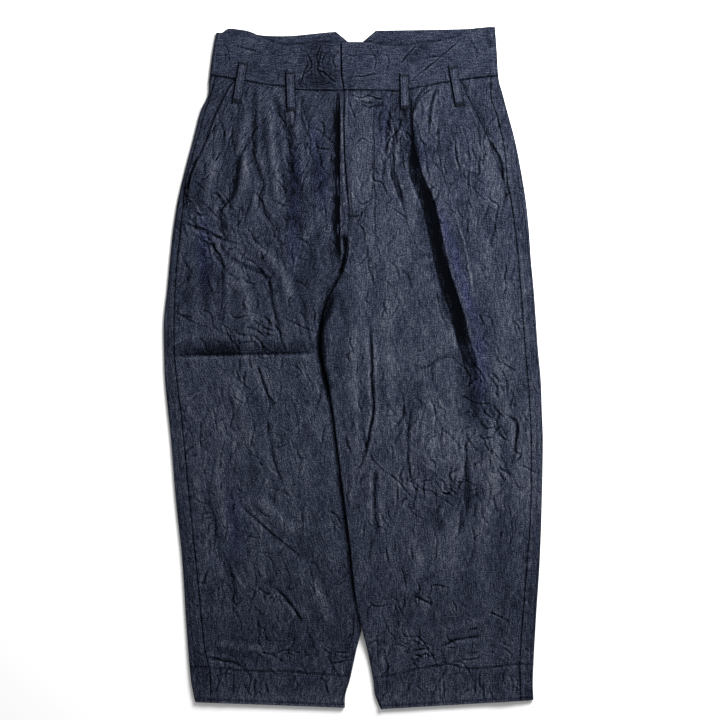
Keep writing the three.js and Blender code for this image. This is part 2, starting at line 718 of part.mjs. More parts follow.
const FRONT = {
  left: { start: leftFrontStart, rest: FLAT_PARTS.left, drop: flyDrop },
  right: { start: rightFrontStart, rest: FLAT_PARTS.afterPleat, drop: () => undefined },
};

// Places across a front at one level, from the inner end to the pocket's mouth or the side seam
function acrossFront(half, level) {
  const { fold, flat } = FRONT[half].start(level);
  const last = flat[flat.length - 1];
  const edge = frontEdge(half, level);
  const bentEdge = frontEdge(half, bentLevel(half, edge, level));
  return { fold, flat: [...flat, ...spread(last, edge, FRONT[half].rest).slice(0, -1), bentEdge] };
}

function front(half) {
  const grid = LEVELS.map((level, row) => {
    const thick = legWall(level);
    const square = row === 0;
    const { fold, flat } = acrossFront(half, level);
    const onTop = (x) => onFront(half, x, bentLevel(half, x, level), thick, FRONT[half].drop(1), square);
    const folded = fold.map((x, i) => {
      const legs = legShare(level);
      if (legs === 0) return onTop(x);
      const y = bentLevel(half, mix(x, innerEdge[half](level), legs), level);
      return onInnerFold(half, x, y, i / 2, true, thick);
    });
    return [...folded, ...flat.map(onTop)];
  });
  return wall(`front_${half}`, grid);
}

// A back leg: from the side seam on the front, round the outer edge, across the underside to the inner seam
function back(half) {
  const out = sign[half];
  const grid = LEVELS.map((level, row) => {
    const thick = legWall(level);
    const square = row === 0;
    const onTop = (x) => onFront(half, x, bentLevel(half, x, level), thick, undefined, square);
    const underLevel = (x) => bentLevel(half, x, level, (place) => underSeam(half, place));
    const outerY = bentLevel(half, outline[half](level), level);
    const tangent = outline[half](outerY) - (out * edgeHeight(outerY)) / 2;
    const seam = sideSeam[half](bentLevel(half, sideSeam[half](level), level));
    const strip = [seam, mix(seam, tangent, 0.5)].map(onTop);
    const fold = FOLD_DEGREES.map((degrees) => onOuterFold(half, outerY, degrees, thick));

    const legs = legShare(level);
    const centre = centreBack(level) + (out * SEAM_GAP) / 2;
    const tubeEnd = innerEdge[half](level) + out * innerRadius(half, level);
    const flatEnd = mix(centre + out * CENTRE_STRIP, tubeEnd, legs);
    const lapEnd = Math.max(innerEdge.left(level), flatEnd + EDGE_CURL);
    const under = half === 'left'
      ? [mix(tangent, flatEnd, 0.33), mix(tangent, flatEnd, 0.67)]
      : [mix(tangent, lapEnd + LAP_REACH, 0.6), lapEnd + LAP_REACH, lapEnd + LAP_REACH / 2, lapEnd + 1];
    const ends = [1, 0.5, 0].map((share) => {
      const x = centre + out * CENTRE_STRIP * share;
      return onInnerFold(half, x, underLevel(mix(x, innerEdge[half](level), legs)), share, false, thick);
    });
    const flat = under.map((x) => onBack(half, x, underLevel(x), thick));
    return [...strip, ...fold, ...flat, ...ends];
  });
  return wall(`back_${half}`, grid);
}

// Places across a pocket's facing that show, from the front's edge to the side seam
function acrossFacing(half, y) {
  const edge = frontEdge(half, y);
  const seam = sideSeam[half](y) - sign[half] * SEAM_GAP;
  return [mix(edge, seam, 0.2), mix(edge, seam, 0.6), seam];
}

// The facing behind a pocket's mouth: it starts under the front's edge and rises to the side seam
function pocketFacing(half) {
  const out = sign[half];
  const drop = (x, y) => {
    const outside = out * (x - frontEdge(half, y));
    return (CLOTH + LAY_GAP) * ease((FACING_RISE.end - outside) / FACING_RISE.over);
  };
  const foot = POCKET_FOOT[half] + FACING_FOOT.above;
  const levels = LEVELS.filter((level) => level > foot + FACING_FOOT.row).concat(foot);
  const grid = levels.map((level, row) => {
    const edge = frontEdge(half, level);
    const starts = [edge - out * POCKET_UNDERLAP, edge - out * FACING_HIDDEN_COLUMN];
    const rough = [...starts, ...acrossFacing(half, level)];
    return rough.map((near, i) => {
      const shows = i - starts.length;
      const across = (y) => (shows < 0 ? near + frontEdge(half, y) - edge : acrossFacing(half, y)[shows]);
      const x = across(bentLevel(half, across(bentLevel(half, near, level)), level));
      const y = bentLevel(half, x, level) - (row === 0 ? SEAM_GAP : 0);
      return onFront(half, x, y, CLOTH, drop, row === 0);
    });
  });
  return wall(`pocket_facing_${half}`, grid);
}

// Half of the waistband, doubled cloth, from its end at the front round the side to the centre back
function waistband(half) {
  const out = sign[half];
  const thick = 2 * CLOTH;
  const drop = half === 'left' ? flyDrop(2) : undefined;
  const corner = waistCorner(half);
  const line = parting(WAIST_LEVEL);
  const { fold, flat } = acrossFront(half, WAIST_LEVEL);
  const underlap = [line + BAND_UNDERLAP, line + BAND_UNDERLAP / 2, ...fold.slice(1)];
  const leg = [...(half === 'left' ? underlap : fold), ...flat];
  const seam = sideSeam[half](corner.y);
  const front = [...leg, ...acrossFacing(half, corner.y - 3), mix(seam, corner.x, 0.5)];
  const notchCorner = NOTCH.x + (out * NOTCH.wide) / 2;
  const backEnd = NOTCH.x + (out * SEAM_GAP) / 2;
  const rear = [...spread(corner.x, notchCorner, 6), mix(notchCorner, backEnd, 0.5), backEnd];

  // The band's columns lean with the outline
  const lean = (x, y) => {
    const tangent = outline[half](y) - (out * edgeHeight(y)) / 2;
    return x + (tangent - corner.x) * Math.max(0, x / corner.x);
  };
  const grid = BAND_SHARES.map((share) => {
    const square = share === 0;
    const frontRow = front.map((x) => {
      const hidden = half === 'left' && x > line ? BAND_END_STEP : 0;
      const y = mix(waistSeam(x) + SEAM_GAP / 2, frontTop(x) - hidden, share);
      const shift = parting(y) - line;
      const near = ease(1 - Math.abs(x - line) / BAND_UNDERLAP);
      return onFront(half, lean(x, y) + shift * near, y, thick, drop, square);
    });
    const sideTop = frontTop(outline[half](480));
    const sideY = mix(corner.y + SEAM_GAP / 2, sideTop, share);
    const sideRow = FOLD_DEGREES.map((degrees) => onOuterFold(half, sideY, degrees, thick));
    const backRow = rear.map((x) => {
      const y = mix(underSeam(half, x) + SEAM_GAP / 2, backTop(x), share);
      return onBack(half, lean(x, y), y, thick);
    });
    return [...frontRow, ...sideRow, ...backRow];
  });
  return wall(`waistband_${half}`, grid);
}

// A belt loop: a folded strip that lies on the band and the front, and arches a little between its ends
function beltLoop(loop, number) {
  const half = loop.topX < 0 ? 'left' : 'right';
  const run = new THREE.Vector2(loop.footX - loop.topX, loop.footY - loop.topY);
  const across = new THREE.Vector2(-run.y, run.x).normalize();
  const grid = LOOP_SHARES.map((share) => {
    const middle = new THREE.Vector2(loop.topX, loop.topY).addScaledVector(run, share);
    const arch = LOOP.arch * Math.sin(Math.PI * share);
    return [-0.5, 0, 0.5].map((side) => {
      const spot = middle.clone().addScaledVector(across, side * LOOP.wide);
      const under = frontHeight(half, spot.x, spot.y) + LAY_GAP + arch;
      return {
        outer: new THREE.Vector3(spot.x, spot.y, under + LOOP.thick),
        inner: new THREE.Vector3(spot.x, spot.y, under),
      };
    });
  });
  return wall(`belt_loop_${number}`, grid);
}

const trousers = new THREE.Group();
trousers.name = 'trousers';
for (const half of ['left', 'right']) {
  trousers.add(front(half), back(half), pocketFacing(half), waistband(half));
}
LOOPS.forEach((loop, i) => trousers.add(beltLoop(loop, i + 1)));

export default trousers;
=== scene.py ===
"""Denim trousers laid flat on a pale surface. Tables are in millimetres, and every mesh is in metres."""

import math

import bpy
import numpy as np
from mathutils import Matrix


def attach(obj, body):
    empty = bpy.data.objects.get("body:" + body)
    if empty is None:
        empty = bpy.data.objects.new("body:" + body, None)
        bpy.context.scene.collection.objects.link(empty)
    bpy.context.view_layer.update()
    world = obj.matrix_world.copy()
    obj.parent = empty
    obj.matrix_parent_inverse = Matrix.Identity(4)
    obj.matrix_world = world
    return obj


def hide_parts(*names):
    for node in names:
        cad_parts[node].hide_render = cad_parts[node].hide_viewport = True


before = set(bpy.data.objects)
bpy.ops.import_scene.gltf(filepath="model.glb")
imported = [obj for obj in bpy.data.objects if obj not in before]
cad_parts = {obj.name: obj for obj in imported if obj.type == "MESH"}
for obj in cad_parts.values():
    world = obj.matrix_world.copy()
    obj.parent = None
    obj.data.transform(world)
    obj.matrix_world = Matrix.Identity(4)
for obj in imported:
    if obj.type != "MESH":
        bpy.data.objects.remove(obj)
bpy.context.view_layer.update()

# Camera
# It looks straight down on the trousers, from far enough that the legs keep their true outline, and its
# picture is 1029.6 mm wide at the height of that outline.
MM = 0.001
FRAME_WIDE = 1029.6
LENS = 100
SENSOR = 36
VIEW_CENTRE = (9.3, 11.44)
OUTLINE_HEIGHT = 3

lens = bpy.data.cameras.new("camera")
lens.lens = LENS
lens.sensor_width = SENSOR
lens.clip_start = 0.1
lens.clip_end = 30
camera = bpy.data.objects.new("camera", lens)
camera.location = [mm * MM for mm in (*VIEW_CENTRE, OUTLINE_HEIGHT + FRAME_WIDE * LENS / SENSOR)]
bpy.context.scene.collection.objects.link(camera)
bpy.context.scene.camera = camera
bpy.context.scene.view_settings.view_transform = "Standard"

# Floor and studio light
# A matt white sheet of card under a large soft light from the upper right, with a weak white room round it.
FLOOR_REACH = 6000
FLOOR_Z = -0.3
LIGHT_AT = (760, 960, 1050)
LIGHT_SIZE = 900
LIGHT_POWER = 62
ROOM_LIGHT = 0.45


def linear(code):
    """An sRGB hex colour as linear red, green and blue."""
    parts = [int(code[i : i + 2], 16) / 255 for i in (1, 3, 5)]
    return [c / 12.92 if c <= 0.04045 else ((c + 0.055) / 1.055) ** 2.4 for c in parts]


card = bpy.data.materials.new("matt_white_card")
card.use_nodes = True
card.node_tree.nodes["Principled BSDF"].inputs["Base Color"].default_value = (*linear("#F4F4F4"), 1)
card.node_tree.nodes["Principled BSDF"].inputs["Roughness"].default_value = 0.9
sheet = bpy.data.meshes.new("floor")
reach = FLOOR_REACH * MM
corners = [(-reach, -reach), (reach, -reach), (reach, reach), (-reach, reach)]
sheet.from_pydata([(x, y, FLOOR_Z * MM) for x, y in corners], [], [(0, 1, 2, 3)])
sheet.materials.append(card)
floor = bpy.data.objects.new("floor", sheet)
bpy.context.scene.collection.objects.link(floor)

lamp = bpy.data.lights.new("soft_light", "AREA")
lamp.size = LIGHT_SIZE * MM
lamp.energy = LIGHT_POWER
light = bpy.data.objects.new("soft_light", lamp)
light.location = [mm * MM for mm in LIGHT_AT]
light.rotation_mode = "QUATERNION"
light.rotation_quaternion = (-light.location).to_track_quat("-Z", "Y")
bpy.context.scene.collection.objects.link(light)
room = bpy.data.worlds.new("room")
room.use_nodes = True
room.node_tree.nodes["Background"].inputs["Color"].default_value = (1, 1, 1, 1)
room.node_tree.nodes["Background"].inputs["Strength"].default_value = ROOM_LIGHT
bpy.context.scene.world = room

# Front legs
# Two panels of washed indigo denim, each cut whole from the waist seam to the hem, which is turned up and
# stitched. They are gathered into pleats at the waist, and creased all over from wear and folding.
CLOTH = 1.2
SEAM_GAP = 0.4
LAY_GAP = 0.45
HEM_DEPTH = 49
# Least heights of the layers: two panels, a hem or the band, and a pocket
LOWEST_STACK = 3.1
LOWEST_DOUBLED_STACK = 5.7
LOWEST_POCKET_STACK = 4.9
FOLD_FADE = 14
BAND_STIFFNESS = 0.45
# Rows of points run at levels, which bend to the waist seam and to the hem's edge near them
WAIST_LEVEL = 397
HEM_LEVEL = -480
WAIST_BEND_REACH = 110
HEM_BEND_REACH = 90
LEVEL_STEP = 1.55
EDGE_ROUND = 0.4
INNER_STEP = 3
# Shifts the weave from piece to piece, so that neighbours differ
PATTERN_SHIFT = 0.37
# How much lighter or darker the cloth is painted at each level, on the left and on the right: partly fading,
# and partly painted light, which makes the right side, nearer the light, lighter than the left
FADE_AND_LIGHT = [
    (480, -0.04, -0.02), (400, -0.1, -0.02), (300, -0.24, -0.04), (200, -0.2, 0.1), (100, -0.14, 0.2),
    (0, 0.04, 0.16), (-100, 0.08, 0.08), (-300, -0.08, -0.04), (-450, -0.12, -0.04), (-480, 0.34, 0.2),
]
FADE_AND_LIGHT_CHANGE = 90
# Patches painted lighter or darker than the rest, with painted shade beside the pleat: how much, x, level,
# reach across and along
TONE_PATCHES = [
    (0.3, 8, 330, 19, 62), (0.3, 8, 256, 18, 30), (-0.35, 50, 366, 22, 30), (-0.3, 76, 300, 16, 26),
    (0.32, 208, 286, 24, 50), (0.34, -122, 262, 24, 56), (0.26, -162, 150, 26, 44),
    (0.34, -206, 288, 20, 34), (-0.3, 184, 60, 22, 50), (0.34, 138, -104, 26, 50), (0.2, 214, -172, 46, 44),
    (-0.2, -120, -52, 30, 26), (-0.24, 2, -96, 16, 30), (0.2, -236, 140, 20, 60), (-0.3, 146, 160, 13, 66),
    (0.3, 258, -150, 12, 100), (0.26, 128, -262, 50, 34), (0.2, 60, 196, 34, 36), (-0.26, 90, 290, 12, 26),
]

# Outline: level, left x and right x
OUTLINE = [
    (488, -194.5, 202.5), (455, -201, 205), (412, -206.5, 208), (390, -208, 214), (369, -218, 219.5),
    (326, -229.5, 231), (283, -241, 239.5), (240, -251, 246.5), (197, -258, 251), (154, -262.5, 254),
    (111, -266.5, 258), (69, -271, 261), (26, -271, 264), (-17, -269.5, 268), (-60, -265.5, 269.5),
    (-103, -261, 271), (-189, -254, 269.5), (-275, -245, 266.5), (-360, -239.5, 261), (-446, -232.5, 256.5),
    (-480, -226, 257.5),
]
# Seams and edges: level and x
SIDE_SEAM = {
    "left": [
        (419, -197), (397, -202), (369, -211.5), (326, -223.5), (283, -236), (262, -240.5), (243, -242.8),
        (225, -244.5), (192, -248), (116, -255), (19, -256), (-80, -245), (-200, -233.5), (-309, -222),
        (-400, -213), (-436, -205), (-480, -204),
    ],
    "right": [
        (419, 196.5), (384, 197), (364, 204), (318, 215), (265, 220.5), (222, 228), (146, 236.5), (50, 244),
        (-80, 253.5), (-200, 253.5), (-332, 244), (-419, 238), (-480, 239.5),
    ],
}
MOUTH = {
    "left": [
        (414, -167), (401, -177), (366, -194.5), (327, -208.5), (304, -218.5), (276, -231.5), (243, -237),
    ],
    "right": [(414, 150.5), (405, 154.5), (368, 173), (331, 190.5), (300, 201.5), (266, 215)],
}
POCKET_FOOT = {"left": 226, "right": 247}
POCKET_UNDERLAP = 12
PARTING = [
    (488, -16.5), (420, -16.5), (397, -12.5), (346, -13), (297, -11.5), (247, -7.5), (222, -5), (203, -7),
    (165, -11.5), (142, -15), (127, -20.5), (103, -33.5), (79, -42), (50, -46), (28, -47), (10, -44.5),
    (-16, -38), (-49, -31.5), (-120, -22), (-200, -12), (-254, -5), (-309, 0.5), (-345, 6), (-375, 12.5),
    (-403, 19.5), (-446, 28), (-468, 31), (-488, 39),
]
FLY_FOOT_Y = 222
CROTCH_Y = 142
CROTCH_SOFT = 8
FLY_UNDERLAP = 12
BAND_UNDERLAP = 40
FLY_BULK = [(488, 2.6), (385, 2.6), (330, 1.6), (240, 1), (170, 0)]
FLY_BULK_FADE = 30
LEG_LAP = [
    (150, 0), (142, 1), (134, 6), (120, 14), (103, 22), (90, 29), (60, 45), (28, 60), (-20, 60), (-75, 52),
    (-160, 40), (-254, 28), (-309, 15), (-345, 3), (-375, -1), (-403, -14.5), (-446, -32.5), (-488, -50.5),
]
LEG_GAP = 0.7
SEEN_MARGIN = 3
LAP_REACH = 40
# Levels where the right leg rises onto the left one and comes down again
RISE = {"start": 175, "full": 140, "hold": -372, "end": -432}
# Height of the folded edges: level and height
EDGE_HEIGHT = [(488, 6.2), (397, 6.1), (330, 5.4), (150, 5.2), (-380, 5.2), (-425, 6), (-488, 6.2)]
# Waist seam: x and level
WAIST_SEAM = [
    (-207, 419), (-168, 413), (-121, 405), (-98, 402.5), (-76, 397.5), (38, 397), (65, 396), (81, 399),
    (141, 410), (205, 418),
]
# Ends of each hem's edge: inner x and y, outer x and y
HEM_EDGE = {"left": (-11.5, -485.5, -226.5, -477.5), "right": (39, -487.3, 257.5, -474.5)}

# Main folds: height, reach on the viewer's left and right when going down (below and above when going right),
# and the run
FOLDS = [
    # The deep groove beside the fly
    (0.6, 14, 8, [(-30, 396), (-31, 300), (-33, 210), (-32, 165)]),
    (-5.6, 3.8, 3.6, [(-22, 396), (-22, 300), (-22, 203), (-20, 160)]),
    (0.5, 3, 6, [(-17, 386), (-15, 300), (-13, 215)]),
    # The deep pleat down the right leg, from the waist seam to the knee
    (0.7, 26, 12, [(70, 385), (72, 300), (92, 220), (108, 140), (134, 70), (150, 15)]),
    (1.1, 14, 34, [(96, 385), (100, 318), (108, 279), (128, 236), (137, 192), (153, 126), (174, 66),
         (190, 8)]),
    (-2.4, 5, 4, [(82, 394), (84, 340), (86, 300), (92, 264)]),
    (-5.6, 15, 9, [(86, 306), (92, 274), (109, 236), (119, 192), (134, 126), (152, 72), (159, 40),
         (174, 0)]),
    (-2, 5, 4, [(121, 404), (112, 378), (108, 340)]), (-1.6, 4, 4, [(104, 402), (90, 384), (84, 362)]),
    # Beside the fly
    (-2, 4, 7, [(52, 372), (48, 340), (46, 300), (42, 268)]),
    (-1.6, 5, 8, [(64, 352), (55, 310), (57, 275), (75, 225)]),
    (0.8, 7, 9, [(38, 396), (20, 384), (-2, 388)]),
    # Inner fold of the right leg
    (-1.7, 6, 5, [(24, 64), (27, 0), (29, -60), (21, -104), (14, -138)]),
    (1.2, 20, 12, [(2, 60), (0, -10), (4, -80), (2, -130)]),
    (-1.8, 7, 8, [(32, -138), (31, -200), (34, -244)]), (0.9, 16, 22, [(50, 90), (52, 0), (56, -90)]),
    # Knee and shin of the right leg
    (-0.5, 5, 8, [(85, 4), (104, 0), (130, 16), (150, 14)]),
    (-0.8, 6, 5, [(84, -46), (79, -103), (81, -150), (99, -174), (124, -183)]),
    (1.6, 20, 22, [(108, -60), (106, -120), (120, -152)]),
    (-1.6, 6, 6, [(215, -64), (233, -80), (232, -116), (225, -144)]),
    (1.5, 18, 14, [(196, -60), (204, -120), (198, -190)]),
    (-1.4, 8, 10, [(161, -120), (162, -180), (152, -240)]), (-1.3, 6, 6, [(90, -326), (110, -336)]),
    (-1.2, 6, 6, [(124, -396), (148, -387), (184, -382)]),
    (0.8, 12, 12, [(120, -376), (150, -368), (186, -362)]),
    (0.5, 9, 9, [(56, -366), (48, -396), (40, -430)]), (1.6, 18, 16, [(96, -260), (88, -300), (70, -330)]),
    (1.8, 34, 26, [(200, -480), (220, -470), (226, -440)]),
    # Pleats of the left front
    (-1.5, 10, 8, [(-116, 398), (-101, 355), (-92, 336), (-89, 293), (-85, 276), (-76, 258)]),
    (1.5, 10, 22, [(-100, 392), (-82, 346), (-72, 290), (-64, 240)]),
    (-1.3, 9, 8, [(-141, 404), (-141, 342), (-141, 300), (-130, 266), (-131, 232), (-110, 202)]),
    (1.7, 11, 12, [(-122, 380), (-116, 320), (-110, 270), (-104, 230)]),
    (1.8, 13, 13, [(-152, 372), (-158, 320), (-154, 270), (-160, 236)]),
    (-1.3, 9, 8, [(-144, 336), (-162, 297), (-172, 249), (-189, 225), (-178, 180)]),
    (1.6, 14, 12, [(-196, 300), (-206, 260), (-214, 226)]),
    # Thigh of the left leg
    (-1.6, 6, 6, [(-238, 206), (-210, 194), (-181, 182)]),
    (-1.5, 6, 6, [(-206, 190), (-194, 160), (-182, 140)]),
    (-0.9, 8, 7, [(-185, 164), (-161, 149), (-125, 132), (-115, 94), (-100, 34)]),
    (1.9, 15, 16, [(-150, 170), (-130, 168), (-98, 130), (-88, 80)]),
    (-1.5, 14, 10, [(-188, 140), (-188, 60)]), (1.9, 18, 15, [(-160, 130), (-150, 90), (-146, 60)]),
    (1.5, 16, 16, [(-222, 170), (-224, 110), (-222, 60)]), (-1.4, 6, 6, [(-72, 100), (-66, 60), (-60, 34)]),
    # Fold across the left knee: a long slope above it and a steep edge below
    (-0.8, 5, 26, [(-264, 18), (-150, 19.5), (-48, 22)]),
    # Shin of the left leg
    (-1.7, 7, 6, [(-137, 4), (-124, -34), (-112, -56)]),
    (1.7, 18, 20, [(-170, -20), (-156, -60), (-150, -110)]),
    (-1.5, 7, 7, [(-122, -72), (-116, -120), (-104, -160)]),
    (-1.2, 7, 6, [(-164, -192), (-128, -227), (-104, -247), (-70, -272)]),
    (1.6, 16, 14, [(-140, -180), (-104, -216), (-76, -240)]),
    (1.5, 16, 16, [(-196, -146), (-190, -190), (-180, -240)]),
    (-1.3, 12, 12, [(-190, -260), (-176, -300), (-168, -340)]),
    (-1.6, 6, 6, [(-112, -310), (-84, -345), (-70, -364)]),
    (1.6, 16, 14, [(-60, -296), (-46, -330), (-30, -372)]),
    (-1.2, 6, 6, [(-206, -414), (-176, -419), (-154, -428)]),
    (1.6, 14, 12, [(-200, -392), (-160, -398), (-120, -402)]),
]
NARROW_FOLD = 7.5
NARROW_DEPTH = 0.75
FOLD_TAPER = 34
# Folds deeper than this get no more painted shade in their colour
FOLD_TONE = 1.1
# Places that little light reaches: depth of shade, reach to left and right, and the run
SLOTS = [
    (2.8, 6.5, 3.4, [(-24, 394), (-23, 300), (-22.5, 203), (-21, 164), (-16, 140)]),
    (0.9, 11, 5, [(-23, 380), (-24, 300), (-24, 203), (-21, 160)]),
    (2.5, 5, 4, [(-13, 192), (-10, 170), (-13, 150), (-19, 132)]),
    (1.8, 1.7, 0.9, [(-13, 397), (-13.4, 346), (-12, 297), (-8, 247), (-5.5, 222)]),
    (1.8, 2, 1.6, [(82, 392), (84, 340), (86, 300), (91, 268)]),
    (2.6, 12, 8, [(87, 300), (92, 276), (104, 250), (115, 212), (122, 169), (135, 126), (149, 83),
         (157, 40), (170, 8)]),
    (1.3, 22, 9, [(90, 270), (105, 240), (114, 192), (130, 126), (148, 80), (166, 20)]),
    (1.7, 5, 4, [(122, 118), (128, 96), (136, 74), (152, 48)]),
    (1.5, 4, 4, [(128, 130), (133, 100), (142, 76)]), (1.3, 3, 3, [(142, 74), (148, 56), (160, 40)]),
    (1.4, 8, 6, [(160, 30), (172, 4), (176, -24)]), (1.5, 9, 7, [(84, 344), (86, 316), (90, 280)]),
    (0.7, 16, 12, [(76, 380), (80, 340), (84, 300)]),
    (1.7, 7, 7, [(-27, 116), (-35, 84), (-44, 60), (-46, 30), (-40, -12), (-32, -50)]),
    (0.8, 26, 16, [(150, 40), (168, 0), (172, -40), (176, -86)]),
    (0.6, 1.6, 22, [(-280, 18), (-200, 19), (-150, 20), (-90, 21), (-30, 23)]),
    (1, 1.8, 24, [(-240, 19), (-196, 19), (-150, 20)]),
    (0.45, 26, 22, [(-222, 190), (-218, 120), (-226, 70)]),
    (0.35, 18, 18, [(-96, 300), (-84, 240), (-92, 190)]),
    (0.4, 24, 30, [(124, -176), (150, -190), (190, -170)]),
    (0.4, 22, 20, [(170, -20), (186, -60), (196, -100)]),
    (0.7, 30, 26, [(-54, 470), (-50, 432), (-52, 396)]), (0.35, 14, 12, [(110, 462), (70, 440)]),
]
# Dark marks and painted shade: the fly's stitches and the tacks at the pockets and the fly, and painted shade
# in the slots of the pockets and beside the end of the right band
MARKS_AND_SHADE = [
    (0.7, 1.7, 2, [(28.8, 372), (28.8, 330), (28.6, 272)]),
    (0.45, 1.6, 1.8, [(27, 258), (24, 240), (17, 226), (6, 217)]),
    (2.4, 1.7, 1.7, [(-7, 218.5), (0, 217), (7, 217.5)]),
    (2.2, 2, 1.2, [(-18, 468), (-17, 440), (-16.5, 420), (-13.5, 396)]),
    (2.2, 2, 2, [(-239, 246), (-236, 241), (-232, 238)]), (1.6, 2, 2, [(-241, 258), (-240, 246)]),
    (2, 1.8, 1.8, [(216, 245), (220, 248), (224, 251)]),
    (1.6, 3, 2.4, [(194, 326), (203, 312), (212, 292), (214, 262)]),
    (1.3, 2.4, 2.4, [(-222, 304), (-233, 276), (-241, 250)]),
]
SLOT_UNEVEN = 0.3
# Runs that rub little and stay a deeper blue: how much, reach and the run
UNWORN = [
    (0.75, 14, [(116, 256), (134, 192), (152, 132), (172, 72), (190, 20)]),
    (0.7, 18, [(176, 60), (182, 0), (178, -60)]),
    (0.6, 15, [(-86, 330), (-82, 270), (-86, 190), (-84, 120)]),
    (0.6, 15, [(-210, 230), (-214, 170), (-212, 100)]), (0.5, 16, [(-60, 360), (-48, 290), (-44, 220)]),
    (0.3, 15, [(44, 380), (46, 320)]), (0.4, 22, [(-168, -160), (-170, -240), (-166, -290)]),
    (0.4, 14, [(90, 330), (98, 280)]),
]
# Thin dark lines where pieces meet, in the pocket mouths and beside the loops: depth of shade and reach
SEAM_SHADE = (0.62, 1.1)
MOUTH_SHADE = (1.1, 2.4)
LOOP_SHADE = (1.8, 2.2)
# Lines along the side seam: how far from it, and share of a seam's shade. Hem and waist lines are deeper
SIDE_LINES = ((0, 1), (8, 0.8), (15.5, 0.8))
DEEP_LINE = 1.5
# The turned edge of a pocket's mouth catches the light: how much, how far inside the mouth, and its reach
MOUTH_EDGE = {"left": 0.5, "right": 1.2}
MOUTH_EDGE_IN, MOUTH_EDGE_REACH = 1.6, 1.2
LAP_SHADE = 1.5
# The left leg sinks a little where the right one lies on it
LAP_SINK = 2
LAP_SINK_REACH = 11

